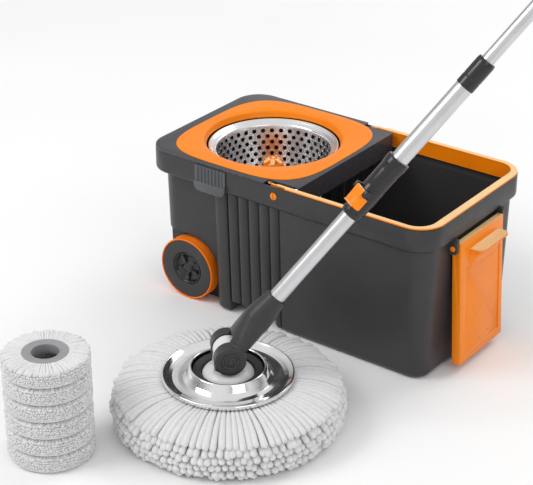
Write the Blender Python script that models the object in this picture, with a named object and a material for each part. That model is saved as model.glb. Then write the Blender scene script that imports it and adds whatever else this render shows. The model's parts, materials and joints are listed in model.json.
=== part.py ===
"""Spin mop set: wheeled bucket with a spinning basket, a telescopic mop and six spare heads.

Metres, +Z up, standing on Z = 0. The origin is the middle of the bucket's underside, +X runs along the
bucket from the wheels to the wash end, and +Y runs to the rear.
"""
import math

import bmesh
import bpy
from mathutils import Matrix, Vector

# Bucket
BUCKET_L = 0.500
BUCKET_W = 0.273
BUCKET_H = 0.244
LEFT = -BUCKET_L / 2
RIGHT = BUCKET_L / 2
FRONT = -BUCKET_W / 2
REAR = BUCKET_W / 2
CORNER_R = 0.040
WALL = 0.003
BAND_LOW = 0.205
LEDGE_Z = 0.2125
TOP_INSET = 0.008
BASE_END_INSET = 0.012
BASE_SIDE_INSET = 0.016
RECESS = 0.013
FLUTE_DEPTH = 0.004
RIDGE_START = 0.118
FLUTE_START = 0.148
FLUTE_PITCH = 0.019
FLUTE_COUNT = 5
NOTCH = (-0.102, -0.016)
NOTCH_H = 0.022
FOOT_CHAMFER = 0.010

# Wheels and their arches
AXLE_X = LEFT + 0.063
WHEEL_R = 0.050
WHEEL_Y = 0.0255
WHEEL_T = 0.022
ARCH_R = 0.056
ARCH_DEPTH = 0.045

# Deck, trim and spin basket
DECK_Z = BUCKET_H + 0.0003
DECK_T = 0.0027
DECK_STEP_X = LEFT + 0.222
DECK_END_X = LEFT + 0.275
DECK_STEP_Y = 0.0135
DECK_WALL_Z = 0.214
BASKET_X = LEFT + 0.1397
DECK_HOLE_R = 0.107
TRIM_X = LEFT + 0.1425
TRIM_HALF = (0.1260, 0.1285)
TRIM_POWER = 3.8
TRIM_HOLE_R = 0.1012
CARRIER_Z = 0.108
POST_R = 0.110

# Latches
LATCH_X = (LEFT + 0.097, LEFT + 0.154)
LATCH_Z = (0.203, 0.2435)
LATCH_T = 0.004
LATCH_GAP = 0.0006

# Bail handle
BAIL_X = LEFT + 0.2404
BAIL_Z = 0.230
BAIL_FLANGE_X = BAIL_X + 0.018
BAIL_STRIP_X = BAIL_X + 0.002
BAIL_OFFSET = (0.0055, 0.008)
PIN_R = 0.0025
HOLE_R = 0.0029

# Tow handle
TOW_X = RIGHT - 0.001
TOW_Z = 0.197
TOW_Y = (FRONT + 0.074, FRONT + 0.193)
TOW_TOP = 0.0065
TOW_BOTTOM = -0.1855
TOW_LEAN = math.radians(3)
EAR_T = 0.0055

# Mop: head centre, pin height, handle direction
HEAD_X = 0.0739
HEAD_Y = -0.3529
PIN_Z = 0.106
HEAD_LIFT = 0.023
HANDLE_TURN = math.radians(45)
HANDLE_RISE = math.radians(49.9)
HEAD_R = 0.162
DISH_R = 0.0905
LUG_R = 0.020
LUG_T = 0.020
BOSS_R = 0.0215
FORK_X = 0.030
FORK_GAP = 0.0112
FORK_SLOT_TOP = 0.0250

# Handle stations, measured along the handle from the pin
YOKE_TOP = 0.103
SOCKET_END = 0.036
LOWER_TUBE_TOP = 0.375
COLLAR = (0.252, 0.350)
MIDDLE_TUBE = (0.299, 0.496)
COUPLING = (0.475, 0.519)
UPPER_TUBE_TOP = 1.168
GRIP = (1.050, 1.170)
ROD = (0.215, 0.494)
ROD_LEAD = 0.080
LOWER_R = 0.0111
MIDDLE_R = 0.0121
UPPER_R = 0.0090
COLLAR_R = 0.0154
LEVER_PIVOT = (0.0189, 0.291)
LEVER_TURN = math.radians(25.6)

# Spare heads
SPARE_X = -0.0674
SPARE_Y = -0.5545
SPARE_R = 0.0590
SPARE_H = 0.0257
SPARE_COUNT = 6

FINISHES = {
    "body": ((0.075, 0.073, 0.078), 0.42, 0.0),
    "deck": ((0.105, 0.105, 0.115), 0.22, 0.0),
    "latch": ((0.19, 0.195, 0.20), 0.45, 0.0),
    "orange": ((0.93, 0.27, 0.025), 0.35, 0.0),
    "dark": ((0.060, 0.058, 0.062), 0.45, 0.0),
    "steel": ((0.80, 0.80, 0.81), 0.16, 1.0),
    "tube": ((0.78, 0.78, 0.79), 0.24, 1.0),
    "white": ((0.86, 0.86, 0.87), 0.35, 0.0),
    "grey": ((0.42, 0.42, 0.43), 0.45, 0.0),
    "fibre": ((0.88, 0.88, 0.88), 0.95, 0.0),
}


# ---------------------------------------------------------------- helpers

def clear_scene():
    for old in list(bpy.data.objects):
        bpy.data.objects.remove(old)


def paint(obj, finish):
    colour, roughness, metallic = FINISHES[finish]
    mat = bpy.data.materials.new(obj.name + "_finish")
    mat.use_nodes = True
    shader = mat.node_tree.nodes["Principled BSDF"]
    shader.inputs["Base Color"].default_value = (*colour, 1)
    shader.inputs["Roughness"].default_value = roughness
    shader.inputs["Metallic"].default_value = metallic
    obj.data.materials.append(mat)


def make(name, bm, finish=None, parent=None, at=(0, 0, 0), turn=(0, 0, 0)):
    """Turn a bmesh into a named object; one with no finish is a cutter."""
    bmesh.ops.remove_doubles(bm, verts=bm.verts, dist=1e-6)
    bmesh.ops.recalc_face_normals(bm, faces=bm.faces)
    mesh = bpy.data.meshes.new(name)
    bm.to_mesh(mesh)
    bm.free()
    mesh.shade_smooth()
    mesh.set_sharp_from_angle(angle=math.radians(35))
    obj = bpy.data.objects.new(name, mesh)
    bpy.context.scene.collection.objects.link(obj)
    obj.parent = parent
    obj.location = at
    obj.rotation_euler = turn
    if finish:
        paint(obj, finish)
    else:
        obj.hide_render = True
        obj.display_type = "WIRE"
    return obj


def empty(name, parent=None, at=(0, 0, 0), turn=(0, 0, 0)):
    obj = bpy.data.objects.new(name, None)
    bpy.context.scene.collection.objects.link(obj)
    obj.parent = parent
    obj.location = at
    obj.rotation_euler = turn
    return obj


def boolean(obj, other, operation="DIFFERENCE"):
    mod = obj.modifiers.new(operation.lower() + "_" + other.name, "BOOLEAN")
    mod.operation = operation
    mod.object = other
    mod.solver = "EXACT"


def turned(profile, segments=24):
    """Solid of revolution about Z from a closed (radius, height) profile."""
    bm = bmesh.new()
    verts = [bm.verts.new((r, 0, z)) for r, z in profile]
    edges = [bm.edges.new((a, b)) for a, b in zip(verts, verts[1:] + verts[:1])]
    bmesh.ops.spin(bm, geom=verts + edges, cent=(0, 0, 0), axis=(0, 0, 1),
                   angle=math.tau, steps=segments, use_duplicate=False)
    bmesh.ops.remove_doubles(bm, verts=bm.verts, dist=1e-6)
    bmesh.ops.dissolve_degenerate(bm, edges=bm.edges, dist=1e-7)
    loose = [e for e in bm.edges if not e.link_faces]
    bmesh.ops.delete(bm, geom=loose, context="EDGES")
    return bm


def lofted(rings):
    """Closed solid through rings of equal point counts, with flat ends."""
    bm = bmesh.new()
    rows = [[bm.verts.new(p) for p in ring] for ring in rings]
    for low, high in zip(rows, rows[1:]):
        for i, vert in enumerate(low):
            j = (i + 1) % len(low)
            bm.faces.new((vert, low[j], high[j], high[i]))
    bm.faces.new(reversed(rows[0]))
    bm.faces.new(rows[-1])
    return bm


def looped(rings):
    """Closed solid through rings whose last ring joins back to the first."""
    bm = bmesh.new()
    rows = [[bm.verts.new(p) for p in ring] for ring in rings]
    for low, high in zip(rows, rows[1:] + rows[:1]):
        for i, vert in enumerate(low):
            j = (i + 1) % len(low)
            bm.faces.new((vert, low[j], high[j], high[i]))
    return bm


def prism(outline, low, high, axis="Z"):
    """Extrude a 2D outline along an axis: (x, y) for Z, (x, z) for Y, (y, z) for X."""
    place = {
        "Z": lambda a, b, c: (a, b, c),
        "Y": lambda a, b, c: (a, c, b),
        "X": lambda a, b, c: (c, a, b),
    }[axis]
    return lofted([[place(a, b, c) for a, b in outline] for c in (low, high)])


def box(low, high):
    (x0, y0, z0), (x1, y1, z1) = low, high
    return prism([(x0, y0), (x1, y0), (x1, y1), (x0, y1)], z0, z1)


def arc(cx, cy, r, start, end, steps):
    """Points on an arc, angles in degrees, both ends included."""
    angles = [math.radians(start + (end - start) * i / steps) for i in range(steps + 1)]
    return [(cx + r * math.cos(a), cy + r * math.sin(a)) for a in angles]


def rod_between(name, radius, low, high, axis, centre, segments=12):
    """A round cutter along X or Y through a centre given on the other two axes."""
    outline = arc(centre[0], centre[1], radius, 0, 360 - 360 / segments, segments - 1)
    return make(name, prism(outline, low, high, axis))


# ---------------------------------------------------------------- bucket

def flute_stations():
    """Distances from the left end and depths (0 to 1 of recess or groove) along a long side."""
    points = [(RIDGE_START, RECESS), (RIDGE_START + 0.004, 0.005), (RIDGE_START + 0.010, 0.0008)]
    points += [(FLUTE_START - 0.010, 0.0), (FLUTE_START - 0.002, 0.0)]
    for i in range(FLUTE_COUNT):
        start = FLUTE_START + i * FLUTE_PITCH
        points.append((start, FLUTE_DEPTH))
        points += [(start + FLUTE_PITCH * t, FLUTE_DEPTH * k) for t,
                   k in ((0.2, 0.25), (0.5, 0), (0.8, 0.25))]
    end = FLUTE_START + FLUTE_COUNT * FLUTE_PITCH
    points += [(end, FLUTE_DEPTH), (end + 0.002, 0.0)]
    return points


def bucket_ring(z, end_inset, side_inset, feature):
    """Plan outline at a height; feature 1 shows the left recess and the flutes, 0 hides them."""
    recess = RECESS * feature
    x0, x1 = LEFT + end_inset, RIGHT - end_inset
    y0, y1 = FRONT + side_inset, REAR - side_inset
    r = CORNER_R - max(end_inset, side_inset) * 0.9
    side = [(LEFT + d, depth * feature) for d, depth in flute_stations()]
    points = [(x, y0 + depth) for x, depth in side]
    points += arc(x1 - r, y0 + r, r, -90, 0, 5)
    points += arc(x1 - r, y1 - r, r, 0, 90, 5)
    points += [(x, y1 - depth) for x, depth in reversed(side)]
    points += arc(x0 + r, y1 - recess - r, r, 90, 180, 5)
    points += arc(x0 + r, y0 + recess + r, r, 180, 270, 5)
    return [(x, y, z) for x, y in points]


def wall_insets(z):
    """End and side insets of the tapering wall below the band."""
    t = z / BAND_LOW
    end = BASE_END_INSET + (TOP_INSET - BASE_END_INSET) * t
    side = BASE_SIDE_INSET + (TOP_INSET - BASE_SIDE_INSET) * t
    return end, side


def bucket_shell():
    rings = []
    for z, extra in ((0, 0.008), (0.003, 0.003), (0.010, 0), (BAND_LOW, 0)):
        end, side = wall_insets(z)
        rings.append(bucket_ring(z, end + extra, side + extra, 1))
    rings.append(bucket_ring(0.2125, 0.0006, 0.0006, 0))
    rings.append(bucket_ring(0.2142, 0, 0, 0))
    rings.append(bucket_ring(BUCKET_H - 0.0012, 0, 0, 0))
    rings.append(bucket_ring(BUCKET_H, 0.0008, 0.0008, 0))
    return make("bucket_body", lofted(rings), "body")


def bucket_cavity():
    rings = []
    for z, extra in ((WALL, 0.008), (WALL + 0.010, 0), (LEDGE_Z, 0)):
        end, side = wall_insets(z)
        rings.append(bucket_ring(z, end + WALL + extra, side + WALL + extra, 1))
    rings.append(bucket_ring(LEDGE_Z + 0.001, WALL, WALL, 0))
    rings.append(bucket_ring(BUCKET_H + 0.02, WALL, WALL, 0))
    return make("cavity", lofted(rings))


def foot_edge(edge, side, grow):
    """Chamfered foot beside a cut, from below the floor up; side is +1 where the foot is to the right."""
    reach = FOOT_CHAMFER + (math.sqrt(2) - 1) * grow
    return [(edge + side * reach, -0.02), (edge + side * reach, grow), (edge + side * grow, reach)]


def arch_outline(grow):
    """Wheel arch in the XZ plane, open to the left and below."""
    r = ARCH_R + grow
    points = foot_edge(AXLE_X + ARCH_R, 1, grow)
    points += arc(AXLE_X, WHEEL_R, r, 0, 90, 8)
    return points + [(LEFT - 0.02, WHEEL_R + r), (LEFT - 0.02, -0.02)]


def notch_outline(grow):
    top = NOTCH_H + grow
    left = foot_edge(NOTCH[0], -1, grow)
    right = foot_edge(NOTCH[1], 1, grow)
    return right + [(NOTCH[1] + grow, top), (NOTCH[0] - grow, top)] + left[::-1]


def build_bucket():
    body = bucket_shell()
    cavity = bucket_cavity()
    for side, y_out, y_in in (("front", FRONT, FRONT + ARCH_DEPTH), ("rear", REAR, REAR - ARCH_DEPTH)):
        sign = 1 if side == "front" else -1
        arch = make("arch_" + side, prism(arch_outline(0), *sorted((y_out - sign * 0.02, y_in)), "Y"))
        liner = make("liner_" + side, prism(arch_outline(WALL),
                                            *sorted((y_out - sign * 0.02, y_in + sign * WALL)), "Y"))
        boolean(body, arch)
        boolean(cavity, liner)
    notch = make("notch", prism(notch_outline(0), FRONT - 0.01, REAR + 0.01, "Y"))
    notch_roof = make("notch_roof", prism(notch_outline(WALL), FRONT - 0.01, REAR + 0.01, "Y"))
    boolean(body, notch)
    boolean(cavity, notch_roof)
    boolean(body, cavity)
    for side, y0 in (("front", TOW_Y[0] - 0.001 - EAR_T), ("rear", TOW_Y[1] + 0.001)):
        ear = make("ear_" + side, box((RIGHT - 0.0105, y0, 0.188), (RIGHT + 0.0055, y0 + EAR_T, 0.212)))
        boolean(body, ear, "UNION")
    pin_hole = rod_between("tow_pin_hole", HOLE_R, TOW_Y[0] - 0.02, TOW_Y[1] + 0.02, "Y", (TOW_X, TOW_Z))
    boolean(body, pin_hole)
    bail_hole = rod_between("bail_pin_hole", HOLE_R, FRONT - 0.01, REAR + 0.01, "Y", (BAIL_X, BAIL_Z))
    boolean(body, bail_hole)
    return bail_hole


def side_pin(name, x, z, y, inward, head_r, length, finish, head_t=0.0015):
    """Headed pin along Y whose head stands outside the face at y."""
    profile = [(0, -head_t), (head_r * 0.85, -head_t), (head_r, -head_t * 0.6), (head_r, 0),
               (PIN_R, 0), (PIN_R, length - 0.0008), (PIN_R - 0.0008, length), (0, length)]
    turn = (-math.pi / 2 * inward, 0, 0)
    return make(name, turned(profile, 16), finish, None, (x, y - inward * 0.0003, z), turn)


def build_bail(bail_hole):
    outer, inner = BAIL_OFFSET

    def u_path(offset, x_start):
        r = CORNER_R - offset
        points = [(x_start, FRONT + offset)]
        points += arc(RIGHT - offset - r, FRONT + offset + r, r, -90, 0, 6)
        points += arc(RIGHT - offset - r, REAR - offset - r, r, 0, 90, 6)
        return points + [(x_start, REAR - offset)]

    def flange_path():
        end_offset, arm_offset, r = 0.0125, 0.0085, 0.0275
        points = [(BAIL_STRIP_X, FRONT + arm_offset)]
        points += arc(RIGHT - end_offset - r, FRONT + arm_offset + r, r, -90, 0, 6)
        points += arc(RIGHT - end_offset - r, REAR - arm_offset - r, r, 0, 90, 6)
        return points + [(BAIL_STRIP_X, REAR - arm_offset)]

    start = BAIL_X - 0.009
    skirt = u_path(outer, start) + list(reversed(u_path(inner, start)))
    bail = make("bail_handle", prism(skirt, 0.2215, 0.2456), "orange")
    narrow = 0.0036
    flange = [(BAIL_STRIP_X, FRONT + narrow), (BAIL_FLANGE_X, FRONT + narrow)]
    flange += u_path(0.0008, BAIL_FLANGE_X) + [(BAIL_FLANGE_X, REAR - narrow),
                                               (BAIL_STRIP_X, REAR - narrow)]
    flange += list(reversed(flange_path()))
    lip = make("bail_flange", prism(flange, BUCKET_H + 0.0006, BUCKET_H + 0.0030))
    boolean(bail, lip, "UNION")
    boolean(bail, bail_hole)
    side_pin("bail_pin_front", BAIL_X, BAIL_Z, FRONT, 1, 0.0056, 0.0098, "orange")
    side_pin("bail_pin_rear", BAIL_X, BAIL_Z, REAR, -1, 0.0056, 0.0098, "orange")


def build_tow_handle():
    """Hinged panel on the wash end, in an empty on its hinge line."""
    hinge = empty("tow_hinge", None, (TOW_X, 0, TOW_Z), (0, -TOW_LEAN, 0))
    y0, y1 = TOW_Y
    inner, outer, top, bottom = -0.0045, 0.0085, TOW_TOP, TOW_BOTTOM
    side = [(inner, bottom), (outer - 0.002, bottom), (outer, bottom + 0.002), (outer, top - 0.001),
            (outer - 0.001, top), (inner + 0.004, top), (inner, top - 0.004)]
    panel = make("tow_handle", prism(side, y0, y1, "Y"), "orange", hinge)
    recess = make("tow_recess", box((outer - 0.003, y0 + 0.016, bottom + 0.010),
                                    (outer + 0.01, y1 - 0.010, -0.033)), None, hinge)
    boolean(panel, recess)
    lip_y = (y0 + 0.026, y1 - 0.014)
    wedge = [(outer - 0.004, -0.011), (outer + 0.0195, -0.0105), (outer + 0.020, -0.0135),
             (outer + 0.004, -0.027), (outer - 0.004, -0.047)]
    lip = make("tow_lip", prism(wedge, *lip_y, "Y"), None, hinge)
    boolean(panel, lip, "UNION")
    holes = make("tow_panel_hole", prism(arc(0, 0, HOLE_R, 0, 330, 11), y0 - 0.01, y0 + 0.010, "Y"),
                 None, hinge)
    holes_rear = make("tow_panel_hole_rear",
                      prism(arc(0, 0, HOLE_R, 0, 330, 11), y1 - 0.010, y1 + 0.01, "Y"), None, hinge)
    boolean(panel, holes)
    boolean(panel, holes_rear)
    side_pin("tow_pin_front", TOW_X, TOW_Z, y0 - 0.001 - EAR_T, 1, 0.0040, 0.0150, "orange")
    side_pin("tow_pin_rear", TOW_X, TOW_Z, y1 + 0.001 + EAR_T, -1, 0.0040, 0.0150, "orange")


def build_wheels():
    for side, face, inward in (("front", FRONT, 1), ("rear", REAR, -1)):
        centre = (AXLE_X, face + inward * WHEEL_Y, WHEEL_R)
        hub_frame = empty("wheel_" + side + "_axis", None, centre, (-math.pi / 2 * inward, 0, 0))
        half = WHEEL_T / 2
        tyre = [(0.0472, -half + 0.001), (0.0476, -half), (0.0487, -half), (WHEEL_R, -half + 0.0015),
                (WHEEL_R, half - 0.0015), (0.0487, half), (0.0472, half)]
        make("wheel_" + side + "_tyre", turned(tyre, 28), "orange", hub_frame)
        hub = [(0.0262, -half + 0.0020), (0.0468, -half + 0.0005), (0.0468, half - 0.0015),
               (0.0300, half - 0.0015),
               (0.0120, half - 0.0015), (0.0042, half - 0.0015), (0.0042, -half + 0.0100),
               (0.0262, -half + 0.0100)]
        make("wheel_" + side + "_hub", turned(hub, 22), "dark", hub_frame)
        cap = [(0, -half + 0.0025), (0.0090, -half + 0.0030), (0.0120, -half + 0.0065),
               (0.0205, -half + 0.0065),
               (0.0230, -half + 0.0025), (0.0259, -half + 0.0022), (0.0259, -half + 0.0097),
               (0, -half + 0.0097)]
        make("wheel_" + side + "_cap", turned(cap, 16), "dark", hub_frame)
        axle = [(0, -half + 0.0105), (0.0038, -half + 0.0105), (0.0038, ARCH_DEPTH - WHEEL_Y - 0.0035),
                (0.0075, ARCH_DEPTH - WHEEL_Y - 0.0035), (0.0075, ARCH_DEPTH - WHEEL_Y - 0.0003),
                (0, ARCH_DEPTH - WHEEL_Y - 0.0003)]
        make("axle_" + side, turned(axle, 14), "steel", hub_frame)


def build_latches():
    width = LATCH_X[1] - LATCH_X[0]
    low = LATCH_Z[0] - (LATCH_Z[1] - 0.002)
    r = 0.010
    half = width / 2
    outline = arc(-half + r, low + r, r, 180, 270, 5) + arc(half - r, low + r, r, 270, 360, 5)
    outline += [(half, 0.002), (-half, 0.002)]
    for side, face, inward in (("front", FRONT, 1), ("rear", REAR, -1)):
        y = face - inward * (LATCH_GAP + LATCH_T / 2)
        at = (sum(LATCH_X) / 2, y, LATCH_Z[1] - 0.002)
        latch = make("latch_" + side, prism(outline, -LATCH_T / 2, LATCH_T / 2, "Y"), "latch", None, at)
        edge = latch.modifiers.new("soft_edges", "BEVEL")
        edge.width = 0.0014
        edge.segments = 2


# ---------------------------------------------------------------- deck and basket

def deck_outline():
    r = CORNER_R
    step_y = DECK_STEP_Y
    points = [(DECK_STEP_X, FRONT + 0.0005), (DECK_STEP_X, FRONT + step_y), (DECK_END_X, FRONT + step_y)]
    points += [(DECK_END_X, REAR - step_y), (DECK_STEP_X, REAR - step_y), (DECK_STEP_X, REAR - 0.0005)]
    points += arc(LEFT + r, REAR - r, r - 0.0005, 90, 180, 8)
    points += arc(LEFT + r, FRONT + r, r - 0.0005, 180, 270, 8)
    return points


def build_deck():
    deck = make("deck_cover", prism(deck_outline(), DECK_Z, DECK_Z + DECK_T), "deck")
    wall = make("deck_wall", box((DECK_END_X - 0.0028, FRONT + DECK_STEP_Y, DECK_WALL_Z),
                                 (DECK_END_X, REAR - DECK_STEP_Y, DECK_Z + 0.001)))
    boolean(deck, wall, "UNION")
    hole = make("deck_hole", turned([(0, 0.20), (DECK_HOLE_R, 0.20), (DECK_HOLE_R, 0.26), (0, 0.26)],
                                    48), None, None, (BASKET_X, 0, 0))
    boolean(deck, hole)


def trim_edge(inset, z, count):
    """Rounded square ring with bulging sides, about the basket's axis."""
    a, b = TRIM_HALF[0] - inset, TRIM_HALF[1] - inset
    points = []
    for i in range(count):
        t = math.tau * i / count
        c, s = math.cos(t), math.sin(t)
        r = (abs(c / a) ** TRIM_POWER + abs(s / b) ** TRIM_POWER) ** (-1 / TRIM_POWER)
        points.append((TRIM_X - BASKET_X + r * c, r * s, z))
    return points


def circle(r, z, count):
    return [(r * math.cos(math.tau * i / count), r * math.sin(math.tau * i / count),
             z) for i in range(count)]


def build_trim():
    top = DECK_Z + DECK_T
    n = 40
    rings = [trim_edge(0, top + 0.0003, n), trim_edge(0.0008, top + 0.0013, n),
             circle(0.1053, top + 0.0010, n),
             circle(TRIM_HOLE_R + 0.001, 0.2405, n), circle(TRIM_HOLE_R, 0.2380, n),
             circle(TRIM_HOLE_R + 0.0015, 0.2378, n),
             circle(0.1055, top - 0.0030, n), circle(0.1058, top + 0.0003, n)]
    make("deck_trim", looped(rings), "orange", None, (BASKET_X, 0, 0))


def build_basket():
    axis = empty("basket_axis", None, (BASKET_X, 0, 0))
    bowl = [(0.0984, 0.2378), (0.0990, 0.2368), (0.0984, 0.2355), (0.0885, 0.2330), (0.0730, 0.1405),
            (0.0690, 0.1380),
            (0.0100, 0.1380), (0.0100, 0.1390), (0.0685, 0.1390), (0.0720, 0.1415), (0.0870, 0.2320),
            (0.0885, 0.2362)]
    make("basket", turned(bowl, 32), "steel", axis)
    hub = [(0, 0.2150), (0.0060, 0.2138), (0.0155, 0.2085), (0.0158, 0.1500), (0.0190, 0.1395),
           (0.0095, 0.1395),
           (0.0095, 0.1315), (0.0045, 0.1315), (0.0045, 0.1920), (0, 0.1920)]
    make("basket_hub", turned(hub, 24), "orange", axis)
    make("basket_axle", turned([(0, 0.0990), (0.0040, 0.0990), (0.0040, 0.1890), (0, 0.1890)], 14),
         "steel", axis)
    bush = [(0.0044, CARRIER_Z - 0.001), (0.0072, CARRIER_Z - 0.001), (0.0072, 0.1283), (0.0110, 0.1283),
            (0.0110, 0.1305), (0.0044, 0.1305)]
    make("carrier_bush", turned(bush, 16), "white", axis)
    make("basket_retainer", turned([(0.0043, 0.1015), (0.0090, 0.1015), (0.0090, 0.1050),
                                    (0.0043, 0.1050)], 16), "steel", axis)
    boss = [(0.0075, CARRIER_Z), (0.0140, CARRIER_Z), (0.0140, 0.1280), (0.0075, 0.1280)]
    carrier = make("basket_carrier", turned(boss, 16), "dark", axis)
    for i in range(4):
        turn = (0, 0, math.radians(45 + 90 * i))
        arm = make("arm_%d" % i, box((0.0110, -0.008, 0.1200), (POST_R + 0.002, 0.008, 0.1255)), None,
                   axis, (0, 0, 0), turn)
        post = make("post_%d" % i, box((POST_R - 0.0015, -0.007, 0.1210),
                                       (POST_R + 0.0018, 0.007, DECK_Z - 0.0003)), None, axis, (0, 0,
                                                                                                0), turn)
        boolean(carrier, arm, "UNION")
        boolean(carrier, post, "UNION")


# ---------------------------------------------------------------- mop

def handle_frame():
    """Empty at the fork pin: Z along the handle, X along the pin."""
    flat = Vector((math.cos(HANDLE_TURN), math.sin(HANDLE_TURN), 0))
    z_axis = flat * math.cos(HANDLE_RISE) + Vector((0, 0, math.sin(HANDLE_RISE)))
    x_axis = Vector((flat.y, -flat.x, 0))
    y_axis = z_axis.cross(x_axis)
    turn = Matrix((x_axis, y_axis, z_axis)).transposed().to_euler()
    return empty("handle_axis", None, (HEAD_X, HEAD_Y, PIN_Z), turn)


def ellipse(rx, ry, z, count=16):
    return [(rx * math.cos(math.tau * i / count), ry * math.sin(math.tau * i / count),
             z) for i in range(count)]


def tube(outer, inner, low, high):
    return [(outer, low), (outer, high), (inner, high), (inner, low)]


def build_yoke(frame):
    sections = ((0.002, 0.0298, 0.0120), (0.020, 0.0300, 0.0150), (0.034, 0.0290, 0.0165),
                (0.048, 0.0240, 0.0185),
                (0.064, 0.0204, 0.0198), (0.080, 0.0182, 0.0184), (0.095, 0.0155, 0.0155),
                (YOKE_TOP, 0.0143, 0.0143))
    yoke = make("yoke", lofted([ellipse(rx, ry, z) for z, rx, ry in sections]), "dark", frame)
    boss = make("fork_boss", prism(arc(0, 0, BOSS_R, 0, 342, 19), -FORK_X, FORK_X, "X"), None, frame)
    boolean(yoke, boss, "UNION")
    slot = make("fork_slot", box((-FORK_GAP, -0.03, -0.04), (FORK_GAP, 0.03, FORK_SLOT_TOP)), None, frame)
    boolean(yoke, slot)
    socket = make("fork_socket", turned([(0, SOCKET_END), (LOWER_R + 0.0003, SOCKET_END),
                                         (LOWER_R + 0.0003, 0.12), (0, 0.12)], 20), None, frame)
    boolean(yoke, socket)
    pin_hole = make("fork_pin_hole", prism(arc(0, 0, 0.0043, 0, 330, 11), -0.0265, 0.04, "X"), None,
                    frame)
    boolean(yoke, pin_hole)
    head_seat = make("fork_pin_seat", prism(arc(0, 0, 0.0125, 0, 337.5, 15), FORK_X - 0.002, 0.04, "X"),
                     None, frame)
    boolean(yoke, head_seat)
    pin = [(0, -0.0262), (0.0039, -0.0262), (0.0039, FORK_X - 0.0017), (0.0121, FORK_X - 0.0017),
           (0.0121, FORK_X - 0.0006),
           (0.0112, FORK_X), (0, FORK_X)]
    make("yoke_pin", turned(pin, 16), "dark", frame, (0, 0, 0), (0, math.pi / 2, 0))


def build_lower_handle(frame):
    build_yoke(frame)
    make("lower_tube", turned(tube(LOWER_R, LOWER_R - 0.0010, SOCKET_END + 0.0003, LOWER_TUBE_TOP), 20),
         "tube", frame)
    nut = make("clutch_nut", turned([(0, LOWER_TUBE_TOP + 0.0004), (0.0104, LOWER_TUBE_TOP + 0.0004),
                                     (0.0104, LOWER_TUBE_TOP + 0.0034),
                                     (0, LOWER_TUBE_TOP + 0.0034)], 16), "white", frame)
    phase = twist(LOWER_TUBE_TOP + 0.0019)
    slot = make("nut_slot", box((-0.0057, -0.00275, LOWER_TUBE_TOP - 0.01),
                                (0.0057, 0.00275, LOWER_TUBE_TOP + 0.02)),
                None, frame, (0, 0, 0), (0, 0, phase))
    boolean(nut, slot)


def twist(z):
    """Angle of the drive rod's flat section at a station; its top is left straight."""
    straight_from = ROD[1] - 0.018
    return math.tau * (min(z, straight_from) - straight_from) / ROD_LEAD


def build_rod(frame):
    steps = 36
    rings = []
    for i in range(steps + 1):
        z = ROD[0] + (ROD[1] - ROD[0]) * i / steps
        c, s = math.cos(twist(z)), math.sin(twist(z))
        corners = ((0.0045, 0.0012), (-0.0045, 0.0012), (-0.0045, -0.0012), (0.0045, -0.0012))
        rings.append([(x * c - y * s, x * s + y * c, z) for x, y in corners])
    make("twist_rod", lofted(rings), "steel", frame)
    low, high = MIDDLE_TUBE[1] - 0.0140, MIDDLE_TUBE[1] - 0.0005
    anchor = make("rod_anchor", turned([(0, low), (MIDDLE_R - 0.0010, low),
                                        (MIDDLE_R - 0.0010, high), (0, high)], 16), "white", frame)
    seat = make("rod_seat", box((-0.0048, -0.0015, low - 0.01), (0.0048, 0.0015, ROD[1] + 0.0003)), None, frame)
    boolean(anchor, seat)


def build_collar(frame):
    low, high = COLLAR
    flare = COLLAR_R + 0.001
    bore = COLLAR_R - 0.002
    mouth = LOWER_R + 0.0006
    profile = [(mouth, low), (COLLAR_R - 0.0018, low), (COLLAR_R - 0.0004, low + 0.004),
               (COLLAR_R, low + 0.010),
               (COLLAR_R, high - 0.016), (flare, high - 0.008), (flare, high - 0.001),
               (flare - 0.0008, high),
               (MIDDLE_R + 0.0004, high), (MIDDLE_R + 0.0004, MIDDLE_TUBE[0] - 0.0003),
               (bore, MIDDLE_TUBE[0] - 0.0003), (bore, low + 0.0035), (mouth, low + 0.0035)]
    collar = make("lock_collar", turned(profile, 20), "dark", frame)
    make("tube_bush", turned(tube(bore - 0.0003, LOWER_R + 0.0004, low + 0.0040, MIDDLE_TUBE[0] - 0.001),
                             20), "white", frame)
    radial, station = LEVER_PIVOT
    out = (math.sin(LEVER_TURN) * radial, -math.cos(LEVER_TURN) * radial, station)
    lever_frame = empty("lever_axis", frame, out, (0, 0, LEVER_TURN))
    for side, x in (("left", -0.0126), ("right", 0.0098)):
        lug = make("lever_lug_" + side, box((x, -0.0030, -0.0045), (x + 0.0028, 0.0102, 0.0040)), None,
                   lever_frame)
        boolean(collar, lug, "UNION")
    lug_hole = make("lever_lug_hole", prism(arc(0, 0, 0.0015, 0, 315, 7), -0.02, 0.02, "X"), None,
                    lever_frame)
    boolean(collar, lug_hole)
    build_lever(lever_frame)


def build_lever(lever_frame):
    radial, station = LEVER_PIVOT
    inner = COLLAR_R + 0.0006
    outer = inner + 0.0036
    wrap = arc(0, radial, outer, 215, 325, 10) + arc(0, radial, inner, 325, 215, 10)
    lever = make("lock_lever", prism(wrap, 0.265 - station, -0.0062), "orange", lever_frame)
    tongue = [(-0.0016, -0.0080), (0.0026, -0.0080)] + arc(0, 0, 0.0026, 0, 180, 6) + [(-0.0026, -0.0030)]
    tab = make("lever_tab", prism([(y, z) for y, z in tongue], -0.0090, 0.0090, "X"), None, lever_frame)
    boolean(lever, tab, "UNION")
    hole = make("lever_pin_hole", prism(arc(0, 0, 0.0015, 0, 315, 7), -0.02, 0.02, "X"), None,
                lever_frame)
    boolean(lever, hole)
    make("lever_pin", turned([(0, -0.0124), (0.0012, -0.0124), (0.0012, 0.0124), (0, 0.0124)], 8),
         "steel", lever_frame,
         (0, 0, 0), (0, math.pi / 2, 0))


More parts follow.
